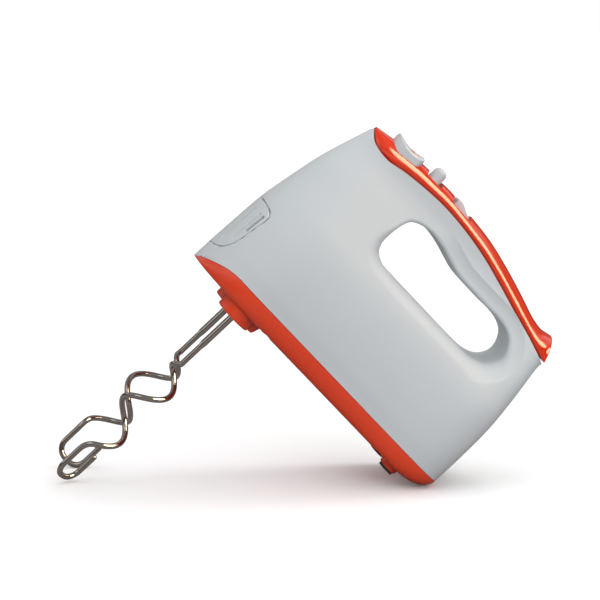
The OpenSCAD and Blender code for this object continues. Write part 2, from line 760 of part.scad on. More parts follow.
// Dough hooks. A spiral leaves the shank, runs into a straight leg, turns up and ends.
function spiral_point(z, phase) = let (
    t = min(1, (spiral_top - z) / -7.2),
    r = spiral_radius * t * t * (3 - 2 * t),
    a = phase - 360 * (z - spiral_top) / spiral_pitch
) [r * cos(a), r * sin(a), -z];
spiral_steps = 36;
function leg_point(w, z, phase) = [w * cos(leg_angle(phase)), w * sin(leg_angle(phase)), z];
function hermite(a, da, b, db, t) =
    (2 * t * t * t - 3 * t * t + 1) * a + (t * t * t - 2 * t * t + t) * da
    + (-2 * t * t * t + 3 * t * t) * b + (t * t * t - t * t) * db;
function hook_path(phase) = let (
    spiral = [for (i = [0:spiral_steps])
        spiral_point(blend(spiral_top, spiral_end, i / spiral_steps), phase)],
    last = spiral[spiral_steps],
    way = last - spiral[spiral_steps - 1],
    leg = leg_point(leg_radius, -spiral_end - 10, phase),
    corner = leg_radius - bend_radius
) concat(
    [[0, 0, -33], [0, 0, -42]],
    spiral,
    [for (i = [1:5]) hermite(last, way * 12 / norm(way), leg, [0, 0, -12], i / 6)],
    [leg],
    [for (a = [0:15:90]) leg_point(corner + bend_radius * cos(a),
        -hook_drop + bend_radius * (1 - sin(a)), phase)],
    [for (a = [90:-15:0]) leg_point(-corner - bend_radius * cos(a),
        -hook_drop + bend_radius * (1 - sin(a)), phase)],
    [leg_point(-leg_radius, -leg_end, phase)]
);
function unit(v) = v / norm(v);
function way_at(p, i) = unit(p[min(i + 1, len(p) - 1)] - p[max(i - 1, 0)]);
function carried(p, i, n) = i >= len(p) ? [] : let (
    t = way_at(p, i),
    m = unit(n - t * (n * t))
) concat([m], carried(p, i + 1, m));
wire_sides = 12;
module wire(p, r) {
    normals = carried(p, 0, [1, 0, 0]);
    skin([for (i = [0:len(p) - 1]) let (n = normals[i], b = cross(way_at(p, i), n))
        [for (a = [0:360 / wire_sides:359]) p[i] + r * (n * cos(a) + b * sin(a))]]);
}
module hook(phase) {
    union() {
        wire(hook_path(phase), wire_radius);
        rod(shank_radius, shank_grip + 33, [0, 0, -33]);
        translate([0, 0, -35]) cylinder(r1 = wire_radius, r2 = shank_radius, h = 2);
        box([-ear_half, -ear_thick / 2, ear_low], [ear_half, ear_thick / 2, ear_high]);
    }
}
module left_hook() {
    color("#c9cccf") at_rest() translate([0, -spindle_y, 0]) hook(hook_phase);
}
module right_hook() {
    color("#c9cccf") at_rest() translate([0, spindle_y, 0]) mirror([0, 1, 0]) hook(right_phase);
}

button_low = spring_low + spring_length;
// Eject: a saddle-shaped button, a strut, and a plate with two pins over the shanks
pin_length = 8;
plate_half = 5;
plate_low = shank_grip + eject_stroke + 0.3 + pin_length;
plate_top = plate_low + 2.5;
pin_radius = shank_radius - 0.25;
module eject_plate() {
    color("#d8d4c6") at_rest() {
        box([-plate_half, -spindle_y - 4, plate_low], [plate_half, spindle_y + 4, plate_top]);
        spindle_pair() rod(pin_radius, pin_length + 0.01, [0, 0, plate_low - pin_length]);
        box([-strut_x, -strut_y, plate_top - 0.01], [strut_x, strut_y, button_low]);
    }
}
eject_coils = 6;
eject_wire = 0.5;
module eject_spring() {
    color("#b9bcc0") at_rest()
        for (i = [0:eject_coils - 1])
            translate([0, 0, spring_low + eject_wire
                + i * (spring_length - 2 * eject_wire) / (eject_coils - 1)])
                rotate_extrude($fn = 32) translate([7, 0]) circle(r = eject_wire, $fn = 16);
}
dish = [for (a = [0:18:180]) [blend(button_front, button_back, a / 180),
    crown_height + 2.4 - 1.6 * sin(a)]];
module eject_button() {
    color("#ced2d3") at_rest() intersection() {
        side_slab(concat(dish, [[button_back, button_low], [button_front, button_low]]));
        union() {
            translate([button_front, -button_half + 4, 0])
                cube([button_back - button_front, 2 * button_half - 8, far]);
            translate([button_front + 4, -button_half, 0])
                cube([button_back - button_front - 8, 2 * button_half, far]);
            for (x = [button_front + 4, button_back - 4]) for (s = [-1, 1])
                rod(4, far, [x, s * (button_half - 4), 0]);
        }
    }
}
rest_y = -selector_stroke / 2;
module speed_selector() {
    color("#ced2d3") at_rest() translate([0, rest_y, 0]) {
        intersection() {
            box([knob_front, -knob_half, crown_height - 14], [knob_back, knob_half, far]);
            translate([(knob_front + knob_back) / 2, 0, crown_height - 8])
                rotate([90, 0, 0]) cylinder(r = 13.7, h = 40, center = true);
        }
        box([knob_front + 1, -2, crown_height - 18.5], [knob_back - 1, 2, crown_height - 13]);
    }
}
turbo_low = crown_height - 10.5 - turbo_stroke;
module turbo_button() {
    color("#ced2d3") at_rest() intersection() {
        side_slab([
            [turbo_front, turbo_low], [turbo_front, crown_height - 1.5],
            [turbo_front + 3.5, crown_height + 0.4], [turbo_front + 7, crown_height - 0.4],
            [turbo_back, crown_height - 1.8], [turbo_back, turbo_low]
        ], 2 * turbo_half);
    }
}
turbo_coils = 6;
turbo_wire = 0.4;
module turbo_spring() {
    color("#b9bcc0") at_rest()
        for (i = [0:turbo_coils - 1])
            translate([(turbo_front + turbo_back) / 2, 0, turbo_low - turbo_wire - i * 2.3])
                rotate_extrude($fn = 24) translate([3, 0]) circle(r = turbo_wire, $fn = 16);
}

housing_left();
housing_right();
base_cover();
handle_cover();
nose_grille();
body_screws();
base_screws();
rubber_feet();
cord_inlet();
gearbox_frame();
gearbox_cover();
spindle_bushes();
motor_bracket();
motor_screws();
stator_core();
field_coils();
front_bearing();
rear_bearing();
brush_holders();
carbon_brushes();
brush_springs();
speed_board();
switch_block();
motor_shaft();
worm();
armature_core();
armature_windings();
commutator();
cooling_fan();
left_gear();
right_gear();
left_socket();
right_socket();
left_hook();
right_hook();
eject_button();
eject_plate();
eject_spring();
speed_selector();
turbo_button();
turbo_spring();
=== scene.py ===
# %% [markdown]
# # A hand mixer with two dough hooks
# The mixer lies as it would on a worktop, on the tips of its hooks and on its heel. The packed
# CAD model is the frame: it says where everything is and what moves. Its inner parts stay as they
# are and get finishes; the shells, buttons and hooks that meet the eye are made again here as
# smooth surfaces, in the same place.

# %% Load the frame
import bpy
import bmesh
import json
import numpy as np
from mathutils import Matrix


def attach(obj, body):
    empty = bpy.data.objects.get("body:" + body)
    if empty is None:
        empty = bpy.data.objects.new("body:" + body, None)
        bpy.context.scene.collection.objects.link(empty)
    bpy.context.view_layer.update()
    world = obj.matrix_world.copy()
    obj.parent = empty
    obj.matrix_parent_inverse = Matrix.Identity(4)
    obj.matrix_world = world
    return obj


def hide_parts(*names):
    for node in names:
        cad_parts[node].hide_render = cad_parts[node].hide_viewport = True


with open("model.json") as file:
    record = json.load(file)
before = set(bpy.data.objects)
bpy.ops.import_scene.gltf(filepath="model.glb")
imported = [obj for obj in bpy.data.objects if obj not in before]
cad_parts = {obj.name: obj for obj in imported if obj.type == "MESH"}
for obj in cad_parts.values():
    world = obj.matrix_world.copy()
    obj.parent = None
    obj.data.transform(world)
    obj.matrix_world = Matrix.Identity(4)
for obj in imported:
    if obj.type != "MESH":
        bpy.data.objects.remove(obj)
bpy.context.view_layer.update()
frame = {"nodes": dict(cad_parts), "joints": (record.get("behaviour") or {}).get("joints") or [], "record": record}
print("CAD nodes:", len(frame["nodes"]))

# %% [markdown]
# ## Working in the mixer's own upright directions
# A mixer is easiest to describe standing upright: x from nose to heel, z up, hooks down, and
# zero on the underside between the spindles. The joints tell how it lies: the motor turns about
# x, the eject button is pressed against z, and the spindles pass through zero. One small
# function then carries a whole array of points, in millimetres, to where the mixer lies.

# %% From upright to lying
joints = {j["name"]: j for j in frame["joints"]}
AHEAD = np.array(joints["motor_spin"]["axis"])
UP = -np.array(joints["eject_press"]["axis"])
ZERO = (np.array(joints["left_spin"]["pos_m"]) + np.array(joints["right_spin"]["pos_m"])) / 2


def lying(points):
    """Zero, plus x along AHEAD, y across and z along UP, in metres."""
    x, y, z = np.moveaxis(np.asarray(points, float) / 1000, -1, 0)
    return ZERO + x[..., None] * AHEAD + y[..., None] * np.array([0, 1, 0]) + z[..., None] * UP


print("zero lies at", np.round(ZERO, 4))

# %% [markdown]
# ## Camera
# The camera stands low, a little towards the nose, with a long lens that keeps the lines of the
# body nearly parallel. It is rolled by 1.4 degrees.

# %% Camera
camera = bpy.data.objects.new("camera", bpy.data.cameras.new("camera"))
bpy.context.scene.collection.objects.link(camera)
bpy.context.scene.camera = camera
camera.data.lens, camera.data.sensor_width = 117.5, 36
CAMERA_AT = (-0.0963, -1.2187, 0.2984)
LOOK = (0.0742, 0.9861, -0.1490)
LEAN = (-0.0136, 0.1504, 0.9885)
look = np.array(LOOK) / np.linalg.norm(LOOK)
right = np.cross(look, LEAN)
right /= np.linalg.norm(right)
turn = np.eye(4)
turn[:3, 0], turn[:3, 1], turn[:3, 2], turn[:3, 3] = right, np.cross(right, look), -look, CAMERA_AT
camera.matrix_world = Matrix(turn.tolist())
print("lens", camera.data.lens, "mm")

# %% [markdown]
# ## From numbers to a mesh
# Every new piece is a sheet of points: a function of two parameters, worked out as whole arrays.
# One helper joins neighbouring points into four-sided faces. A sheet may close on itself in
# either direction, like a tube, and where a row shrinks to a point the doubled points are merged,
# so that the pole is closed.

# %% Sheets and pieces


def faces_of(rows, columns, round_rows, round_columns, first):
    """Each point, its neighbour in the next row, the one past it, and its own next one."""
    i = np.arange(rows if round_rows else rows - 1)[:, None]
    j = np.arange(columns if round_columns else columns - 1)[None, :]
    k, m = (i + 1) % rows, (j + 1) % columns
    corners = [i * columns + j, k * columns + j, k * columns + m, i * columns + m]
    return np.stack(np.broadcast_arrays(*corners), -1).reshape(-1, 4) + first


def sheet(points, round_rows=False, round_columns=False):
    """A grid of points in upright millimetres, and whether it closes on itself."""
    return np.asarray(points, float), round_rows, round_columns


def make_mesh(name, sheets):
    """Puts sheets into one mesh, merges doubled points and turns the faces outwards."""
    spots, quads, first = [], [], 0
    for points, round_rows, round_columns in sheets:
        quads.append(faces_of(points.shape[0], points.shape[1], round_rows, round_columns, first))
        spots.append(lying(points).reshape(-1, 3))
        first += points.shape[0] * points.shape[1]
    spots, quads = np.vstack(spots), np.vstack(quads)
    mesh = bpy.data.meshes.new(name)
    mesh.vertices.add(len(spots))
    mesh.vertices.foreach_set("co", spots.ravel())
    mesh.loops.add(quads.size)
    mesh.loops.foreach_set("vertex_index", quads.ravel())
    mesh.polygons.add(len(quads))
    mesh.polygons.foreach_set("loop_start", np.arange(0, quads.size, 4))
    mesh.update(calc_edges=True)
    work = bmesh.new()
    work.from_mesh(mesh)
    bmesh.ops.remove_doubles(work, verts=work.verts, dist=2e-6)
    bmesh.ops.dissolve_degenerate(work, edges=work.edges, dist=1e-7)
    bmesh.ops.recalc_face_normals(work, faces=work.faces)
    work.to_mesh(mesh)
    work.free()
    return mesh


def new_object(name, sheets):
    thing = bpy.data.objects.new(name, make_mesh(name, sheets))
    bpy.context.scene.collection.objects.link(thing)
    return thing


def settle(thing, crease=40):
    """Turns the modifiers' result into the mesh, smooth except where it bends sharply."""
    result = bpy.data.meshes.new_from_object(thing.evaluated_get(
        bpy.context.evaluated_depsgraph_get()))
    thing.modifiers.clear()
    thing.data = result
    result.shade_smooth()
    result.set_sharp_from_angle(angle=np.radians(crease))
    return thing


def wall(thing, thickness):
    """Gives an open sheet the moulded wall it has, inwards, in millimetres."""
    solid = thing.modifiers.new("wall", "SOLIDIFY")
    solid.thickness, solid.offset, solid.use_rim = thickness / 1000, -1, True


def cut(thing, *tools):
    """Takes closed pieces out of a closed piece, as a milling cutter would."""
    for tool in tools:
        step = thing.modifiers.new("cut", "BOOLEAN")
        step.operation, step.solver, step.object = "DIFFERENCE", "EXACT", tool


def belongs(thing, finish, body, slot, *nodes):
    """Finish, the CAD body it rides on, its material slot (not used), and the CAD nodes it stands for."""
    thing.data.materials.clear()
    thing.data.materials.append(finish)
    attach(thing, body)
    if nodes:
        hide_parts(*nodes)
    print(thing.name, len(thing.data.polygons), "faces")
    return thing


# %% [markdown]
# ## Colour and nodes
# Colours are written as the hex values a paint chart would give. Blender works in linear light,
# so one function turns them. One more adds any node, with its settings and its links.

# %% Colour and node helpers


def linear(hex_colour):
    """sRGB to linear: a straight toe below 0.04, a power of 2.4 above it."""
    c = np.array([int(hex_colour[i:i + 2], 16) for i in (1, 3, 5)]) / 255
    return (*np.where(c <= 0.04045, c / 12.92, ((c + 0.055) / 1.055) ** 2.4), 1.0)


def add(tree, kind, settings=None, values=None, links=None):
    """A node of that kind. Settings are its own, values and links go to its sockets."""
    node = tree.nodes.new(kind)
    for key, value in (settings or {}).items():
        setattr(node, key, value)
    for key, value in (values or {}).items():
        node.inputs[key].default_value = value
    for key, socket in (links or {}).items():
        tree.links.new(socket, node.inputs[key])
    return node


# %% [markdown]
# ## One recipe for a surface, with real sizes
# A made surface is never one flat colour. Its colour drifts a little over some centimetres, its
# gloss drifts over some millimetres, and a fine relief (the grain of the mould, brush marks, the
# turns of a winding) breaks the light. The recipe takes those three sizes in millimetres. A
# stretch makes the relief long in one direction, as brushing and turning do.

# %% Surface recipe
# At a scale of 1 Blender's wave texture repeats every 314.16 mm.
WAVE_LENGTH = 314.16


def surface(name, light, dark, gloss, grain, relief, drift=45, metallic=0.0, ior=None, coat=0.0,
            stretch=(1, 1, 1), lines=None):
    """light and dark: the two colours it drifts between. gloss: lowest and highest roughness.
    grain: size of the relief in mm, relief: its height in mm. lines: spacing of turns in mm."""
    finish = bpy.data.materials.new(name)
    finish.use_nodes = True
    tree = finish.node_tree
    tree.nodes.clear()
    place = add(tree, "ShaderNodeTexCoord")
    laid = add(tree, "ShaderNodeMapping", values={"Scale": stretch},
               links={"Vector": place.outputs["Object"]})
    patch = add(tree, "ShaderNodeTexNoise", values={"Scale": 1000 / drift, "Detail": 3.0},
                links={"Vector": place.outputs["Object"]})
    fine = add(tree, "ShaderNodeTexNoise", values={"Scale": 1000 / grain, "Detail": 4.0},
               links={"Vector": laid.outputs["Vector"]})
    wear = add(tree, "ShaderNodeTexNoise", values={"Scale": 1000 / (drift / 4), "Detail": 5.0},
               links={"Vector": laid.outputs["Vector"]})
    colour = add(tree, "ShaderNodeMix", {"data_type": "RGBA"},
                 {"A": linear(dark), "B": linear(light)}, {"Factor": patch.outputs["Fac"]})
    rough = add(tree, "ShaderNodeMapRange",
                values={"From Min": 0.3, "From Max": 0.7, "To Min": gloss[0], "To Max": gloss[1]},
                links={"Value": wear.outputs["Fac"]})
    height = fine.outputs["Fac"]
    if lines:
        turns = add(tree, "ShaderNodeTexWave", {"bands_direction": "X", "wave_profile": "SIN"},
                    {"Scale": WAVE_LENGTH / lines, "Distortion": 0.6, "Detail": 1.0},
                    {"Vector": along_motor(tree, place)})
        height = turns.outputs["Fac"]
    bump = add(tree, "ShaderNodeBump", values={"Strength": 0.6, "Distance": relief / 1000},
               links={"Height": height})
    shader = add(tree, "ShaderNodeBsdfPrincipled", values={"Metallic": metallic},
                 links={"Base Color": colour.outputs["Result"], "Normal": bump.outputs["Normal"],
                        "Roughness": rough.outputs["Result"]})
    if ior:
        shader.inputs["IOR"].default_value = ior
    if coat:
        shader.inputs["Coat Weight"].default_value = coat
        shader.inputs["Coat Roughness"].default_value = 0.06
    add(tree, "ShaderNodeOutputMaterial", links={"Surface": shader.outputs["BSDF"]})
    return finish


def along_motor(tree, place):
    """Turns object coordinates so that x runs along the motor."""
    lean = float(np.arctan2(-AHEAD[2], AHEAD[0]))
    turned = add(tree, "ShaderNodeMapping", values={"Rotation": (0.0, -lean, 0.0)},
                 links={"Vector": place.outputs["Object"]})
    return turned.outputs["Vector"]


# %% [markdown]
# ## Finishes that meet the eye
# The body is satin-moulded ABS: a cool pale grey with a very fine spark-eroded grain. The handle
# cover is polished-mould ABS in orange red, glossy enough to mirror a window, and the base is the
# same plastic with a softer gloss. The hooks are chromed steel: nearly a mirror, faintly streaked
# along the wire.

# %% Outer finishes
# ABS has an index of about 1.54; a spark-eroded mould leaves a relief of some 0.02 mm.
white_abs = surface("satin_moulded_abs_white", "#cdd1d2", "#c6cbcd", (0.54, 0.64), 0.5, 0.02,
                    drift=70, ior=1.54)
cover_abs = surface("polished_moulded_abs_orange", "#e6390f", "#dc300c", (0.10, 0.14), 1.5, 0.0006,
                    drift=60, ior=1.54, coat=0.3)
base_abs = surface("semi_gloss_moulded_abs_orange", "#ee4a24", "#df3a18", (0.24, 0.34), 0.8, 0.01,
                   drift=60, ior=1.54, coat=0.15)
control_abs = surface("satin_moulded_abs_controls", "#cbcfd0", "#c2c8c9", (0.42, 0.52), 0.4, 0.015,
                      drift=12, ior=1.54)
mark_ink = surface("pad_printed_orange_ink", "#f0502a", "#e8441f", (0.35, 0.45), 0.3, 0.01,
                   drift=4, ior=1.5)
# Chromium over polished steel: the plating follows the drawn wire's faint lengthwise marks.
chrome = surface("chromed_drawn_steel", "#c9c4c0", "#aba49f", (0.08, 0.17), 0.6, 0.004, drift=20,
                 metallic=1.0, stretch=(1, 1, 0.35))
print("outer finishes:", white_abs.name, cover_abs.name, base_abs.name, chrome.name)

# %% [markdown]
# ## Finishes of the works inside
# Behind the vents and in the sockets sit steels, bronze, copper, carbon and unpainted plastics.
# Each one's relief comes from how it was made: turned, rolled, stamped in sheets, wound, pressed.

# %% Inner finishes
INNER = {
    "hook_steel": chrome,
    "white_shell": white_abs,
    "orange_shell": cover_abs,
    "base_shell": base_abs,
    "control": control_abs,
    "screw_steel": surface("zinc_plated_screw_steel", "#b4b8ba", "#8f9496", (0.25, 0.4), 0.3, 0.01,
                           drift=5, metallic=1.0),
    "foot_rubber": surface("moulded_black_rubber", "#3c3b3d", "#2a2a2c", (0.6, 0.8), 0.4, 0.03,
                           drift=8, ior=1.52),
    "gland_rubber": surface("moulded_soft_pvc_gland", "#45474a", "#333538", (0.5, 0.65), 0.5, 0.02,
                            drift=8, ior=1.53),
    "frame_plastic": surface("glass_filled_nylon_frame", "#cfc9b9", "#bdb6a4", (0.5, 0.65), 0.3,
                             0.03, drift=15, ior=1.53),
    "gear_plastic": surface("milled_acetal_gear", "#ebe6da", "#dcd6c6", (0.35, 0.5), 0.3, 0.01,
                            drift=10, ior=1.48),
    "bronze": surface("sintered_bronze_bush", "#b08a52", "#8f6c3c", (0.3, 0.5), 0.25, 0.02,
                      drift=4, metallic=1.0),
    "bracket_steel": surface("rolled_zinc_plated_bracket", "#a6abb0", "#8c9196", (0.3, 0.45), 0.8,
                             0.01, drift=12, metallic=1.0, stretch=(1, 6, 1)),
    "laminated_steel": surface("stamped_motor_laminations", "#8f9499", "#6f7479", (0.35, 0.5), 0.5,
                               0.08, drift=10, metallic=1.0, lines=0.5),
    "enamelled_copper": surface("enamelled_copper_winding", "#b9703a", "#8e4c22", (0.2, 0.35), 0.6,
                                0.12, drift=8, metallic=1.0, lines=0.6),
    "commutator_copper": surface("turned_copper_commutator", "#c98a5c", "#a5673c", (0.2, 0.35),
                                 0.3, 0.01, drift=5, metallic=1.0, lines=0.4),
    "carbon": surface("pressed_carbon_brush", "#343436", "#242426", (0.55, 0.7), 0.2, 0.02,
                      drift=3, ior=1.6),
    "holder_brass": surface("folded_brass_holder", "#c9a75c", "#a5843e", (0.25, 0.4), 0.4, 0.01,
                            drift=6, metallic=1.0),
    "spring_steel": surface("drawn_spring_steel", "#b4b7ba", "#8d9194", (0.2, 0.35), 0.3, 0.01,
                            drift=4, metallic=1.0),
    "board": surface("green_lacquered_circuit_board", "#3f7a4c", "#2f6440", (0.3, 0.45), 0.7, 0.02,
                     drift=6, ior=1.55),
    "switch_plastic": surface("moulded_black_switch_housing", "#35383b", "#26292c", (0.4, 0.55),
                              0.4, 0.02, drift=8, ior=1.57),
    "shaft_steel": surface("ground_shaft_steel", "#bfc3c6", "#9ea2a6", (0.15, 0.28), 0.3, 0.005,
                           drift=6, metallic=1.0, lines=0.4),
    "worm_steel": surface("milled_worm_steel", "#a4a8ac", "#84888c", (0.25, 0.4), 0.3, 0.01,
                          drift=5, metallic=1.0),
    "fan_plastic": surface("moulded_grey_fan_nylon", "#60646a", "#4e5257", (0.45, 0.6), 0.4, 0.02,
                           drift=10, ior=1.53),
    "eject_plastic": surface("moulded_acetal_eject_plate", "#dcd8ca", "#cbc6b6", (0.4, 0.55), 0.4,
                             0.02, drift=8, ior=1.48),
}
slot_of = {s["node"]: s["material_slot"] for s in frame["record"]["subparts"]}
for node, thing in frame["nodes"].items():
    thing.data.materials.clear()
    thing.data.materials.append(INNER[slot_of[node]])
print("finished", len(frame["nodes"]), "CAD nodes")

# %% [markdown]
# ## Lines the shells are drawn from
# A maker would draw the mixer as a few lines on the side view: the nose, the heel, the seams, the
# crown and the finger opening. Here each is a short list of places, in upright millimetres, with
# a smooth curve through them.

# %% Curves


def curve(places, count, closed=False):
    """Catmull-Rom: between two places a cubic whose slopes come from their neighbours. The
    points are then spread evenly along its length."""
    p = np.array(places, float)
    if closed:
        ring = np.vstack([p[-1:], p, p[:2]])
        spans = len(p)
    else:
        ring = np.vstack([2 * p[0] - p[1], p, 2 * p[-1] - p[-2]])
        spans = len(p) - 1
    t = np.linspace(0, spans, 50 * spans + 1)
    i = np.minimum(t.astype(int), spans - 1)
    f = (t - i)[:, None]
    a, b, c, d = ring[i], ring[i + 1], ring[i + 2], ring[i + 3]
    q = 0.5 * (2 * b + (c - a) * f + (2 * a - 5 * b + 4 * c - d) * f ** 2
               + (3 * b - a - 3 * c + d) * f ** 3)
    run = np.r_[0, np.cumsum(np.linalg.norm(np.diff(q, axis=0), axis=1))]
    even = np.linspace(0, run[-1], count)
    return np.stack([np.interp(even, run, q[:, k]) for k in range(q.shape[1])], 1)


def read(line, at):
    """The second coordinate of a smooth line at the given first one."""
    return np.interp(at, line[:, 0], line[:, 1])


def ease(t):
    """From 0 to 1 with no corner at either end."""
    t = np.clip(t, 0, 1)
    return t * t * (3 - 2 * t)


# %% The side view
# The nose is 50 mm deep to the body's full width, the heel 44 mm.
NOSE_TIP, HEEL_TIP, NOSE_RUN, HEEL_RUN = -41.7, 166, 50, 44
NOSE = curve([(-8, -41.7), (0, -41.7), (13, -41.5), (34, -40.8), (55.5, -39.8), (67, -38.4),
              (93, -34.2), (109, -30.6), (137, -22.5), (150, -18)], 400)
HEEL = curve([(0, 166), (13, 166), (31, 166), (57.5, 165.4), (83.5, 162.6), (108, 159.4),
              (113, 160.6), (116, 160), (150, 153)], 400)
SIDE = curve([(-8, 42), (12.6, 42), (25, 42.7), (45, 41.7), (65, 38.2), (85, 31.2), (105, 24),
              (120, 18.7), (131, 16.7), (150, 16.5)], 400)
TOP_SEAM = curve([(-22.9, 136.9), (-18.6, 131.9), (-12.7, 129.5), (-4, 128.9), (3, 130.2),
                  (10, 131.8), (24.5, 133.8), (41.5, 135.1), (60.5, 134.4), (80.5, 131.9),
                  (99.5, 127.8), (120, 122.6), (132, 119.9), (142, 117.3), (157.5, 112.9)], 600)
CROWN = curve([(-22.9, 137.6), (-8, 140.5), (14, 143.2), (31, 144), (42, 144.4), (63, 143),
               (81, 141.4), (100, 137.7), (119, 132.9), (131, 129.4), (137, 128), (144.5, 127.2),
               (149.5, 128.1), (153, 129)], 600)
BASE_SEAM = curve([(-41.9, 0.2), (-40, 2.6), (-34.7, 6.5), (-25.7, 10.6), (-17, 12.4), (-8, 12.6),
                   (60, 12.6), (166.2, 12.6)], 600)
OPENING = curve([(33.6, 112), (30.9, 104.8), (30.1, 96.4), (31, 89.6), (33.9, 85.2), (39, 82.6),
                 (46, 81.6), (77, 81.4), (114.6, 81.6), (124, 82.6), (131.5, 86.2), (136, 93.2),
                 (135.6, 100.4), (131, 107), (124, 110.4), (115.2, 111.4), (104, 111),
                 (82, 111.2), (71.4, 113.2), (61.7, 115.7), (52.7, 117.2), (45.8, 117.1),
                 (39.1, 115.6)], 1200, closed=True)


def half_width(x, z):
    """SIDE gives the widest half at that height. At the nose the plan is half an ellipse, and at
    the heel a squarer superellipse."""
    front_run = NOSE_RUN - 24 * np.clip((z - 60) / 70, 0, 1)
    rear_run = HEEL_RUN - 24 * ease((z - 40) / 60)
    t = np.clip(1 - (x - read(NOSE, z)) / front_run, 0, 1)
    s = np.clip((x - read(HEEL, z) + rear_run) / rear_run, 0, 1)
    return read(SIDE, z) * np.sqrt(1 - t ** 2) * (1 - s ** 3.33) ** 0.25


print("widest", round(float(half_width(60.0, 25.0)) * 2, 1), "mm")

# %% [markdown]
# ## Body shells
# The white body is two mouldings that meet on the middle plane, from the nose to the heel and
# round the finger opening. Each is a sheet stretched between the opening and the outline: one
# parameter runs round the opening, the other goes from its wall out to the nose, seams and heel.
# Each line outwards is a quadratic curve drawn towards a loop halfway, so that none crosses a seam.
# The width at each place comes from half_width, less what the rounded rim takes away.

# %% Body sheet
OPEN_MARKS = [(33.9, 85.2), (33.6, 112), (131, 107), (131.5, 86.2)]
COLUMNS = [110, 150, 80, 130]


def arcs(loop, marks, counts):
    """Cuts a closed loop at the marks and spreads that many points along each stretch."""
    at = [int(np.argmin(np.linalg.norm(loop - m, axis=1))) for m in np.array(marks)]
    pieces = []
    for k, count in enumerate(counts):
        a, b = at[k], at[(k + 1) % len(at)]
        back, ahead = (a - b) % len(loop), (b - a) % len(loop)
        step = -back if back < ahead else ahead
        index = (a + np.linspace(0, step, count, endpoint=False)) % len(loop)
        low = np.floor(index).astype(int)
        part = (index - low)[:, None]
        pieces.append(loop[low] * (1 - part) + loop[(low + 1) % len(loop)] * part)
    return np.vstack(pieces)


def spread(line, count):
    """That many points along an open line, without its last."""
    return curve(line[:: max(1, len(line) // 60)], count + 1)[:-1]


inner_line = arcs(OPENING[:-1], OPEN_MARKS, COLUMNS)
nose_part = NOSE[(NOSE[:, 0] > 0.3) & (NOSE[:, 0] < 136.6)][:, ::-1]
top_part = TOP_SEAM[TOP_SEAM[:, 0] > -22.6] - [0, 0.7]
heel_part = HEEL[(HEEL[:, 0] > 12.9) & (HEEL[:, 0] < 112.3)][::-1, ::-1]
base_part = BASE_SEAM[::-1] + [0, 0.25]
outer_line = np.vstack([spread(part, count) for part, count in
                        zip((nose_part, top_part, heel_part, base_part), COLUMNS)])
MIDDLE_PARTS = ([(-8, 45), (-11, 90), (-12, 117)], [(-12, 117), (25, 122), (80, 121), (142, 110)],
                [(142, 110), (148, 90), (146, 48)], [(146, 48), (70, 47), (-8, 45)])
middle_line = np.vstack([curve(part, count + 1)[:-1] for part, count in
                         zip(MIDDLE_PARTS, COLUMNS)])
print("loops:", inner_line.shape, middle_line.shape, outer_line.shape)

# %% Rim and dish


def rim_drop(x, z):
    """How far the side falls back near the opening: a quarter circle whose radius is 9 mm below
    the opening and 2.8 mm above it, plus a shallow dish along the top and the rear."""
    flat = np.stack([x.ravel(), z.ravel()], 1)
    loop = OPENING[:-1:3]
    k = np.argmin(((flat[:, None, :] - loop[None, :, :]) ** 2).sum(2), axis=1)
    nearest = loop[k]
    d = np.full(len(flat), 1e9)
    for a, b in ((k - 1, k), (k, (k + 1) % len(loop))):
        way = loop[b] - loop[a]
        part = np.clip(((flat - loop[a]) * way).sum(1) / (way ** 2).sum(1), 0, 1)
        d = np.minimum(d, np.linalg.norm(flat - loop[a] - part[:, None] * way, axis=1))
    high = ease((nearest[:, 1] - 84) / 22)
    rear = ease((nearest[:, 0] - 118) / 14)
    radius = 9 - 6.2 * high
    inside = np.clip(1 - d / radius, 0, 1)
    round_off = radius * (1 - np.sqrt(1 - inside ** 2))
    dish = 2.3 * np.maximum(high * ease((nearest[:, 0] - 52) / 20), rear)
    dish = dish * (1 - np.clip(d / 10.5, 0, 1) ** 2.2)
    return (round_off + dish).reshape(x.shape)


def body_half(side):
    """Rows from the opening's wall out to the outline. side is -1 for the left."""
    rows = 84
    out = (1 - np.cos(np.linspace(0, np.pi, rows))) / 2
    s = out[None, :, None]
    flat = (inner_line[:, None] * (1 - s) ** 2 + middle_line[:, None] * 2 * s * (1 - s)
            + outer_line[:, None] * s ** 2)
    x, z = flat[..., 0], flat[..., 1]
    y = np.maximum(half_width(x, z) - rim_drop(x, z), 0.1)
    face = np.stack([x, y, z], -1)
    run_u = np.roll(face, -1, 0) - np.roll(face, 1, 0)
    run_v = np.gradient(face, axis=1)
    normal = np.cross(run_u, run_v)
    normal /= np.maximum(np.linalg.norm(normal, axis=-1, keepdims=True), 1e-9)
    normal *= np.sign(normal[..., 1:2].mean())
    sunk = ease(grille_inside(x, z) / 1.2)
    face = face - 3.0 * sunk[..., None] * normal
    deep = np.linspace(0, 1, 6)[:-1]
    wall_rows = np.stack([np.repeat(inner_line[:, None, 0], 5, 1),
                          0.1 + (y[:, :1] - 0.1) * deep[None, :],
                          np.repeat(inner_line[:, None, 1], 5, 1)], -1)
    whole = np.concatenate([wall_rows, face], 1)
    whole[..., 1] *= side
    return whole


# %% [markdown]
# ## Nose grille
# The vent in the nose is its own insert, set into a recess of the body. Its edge is a slanted
# D on the side view. Upright grooves run down it, three shallow and one deep on each side. The
# recess is sunk into the body sheet where the insert's outline says, and the insert follows the
# nose's own curve, so both always match.

# %% Grille outline
GRILLE_EDGE = curve([(13.4, -43), (14.6, -39.5), (17, -36.4), (20.7, -34), (26, -32.4), (37, -30.9),
                     (48.5, -29.5), (52, -30.3), (54, -32.8), (55, -36.5), (55.6, -43)], 300)


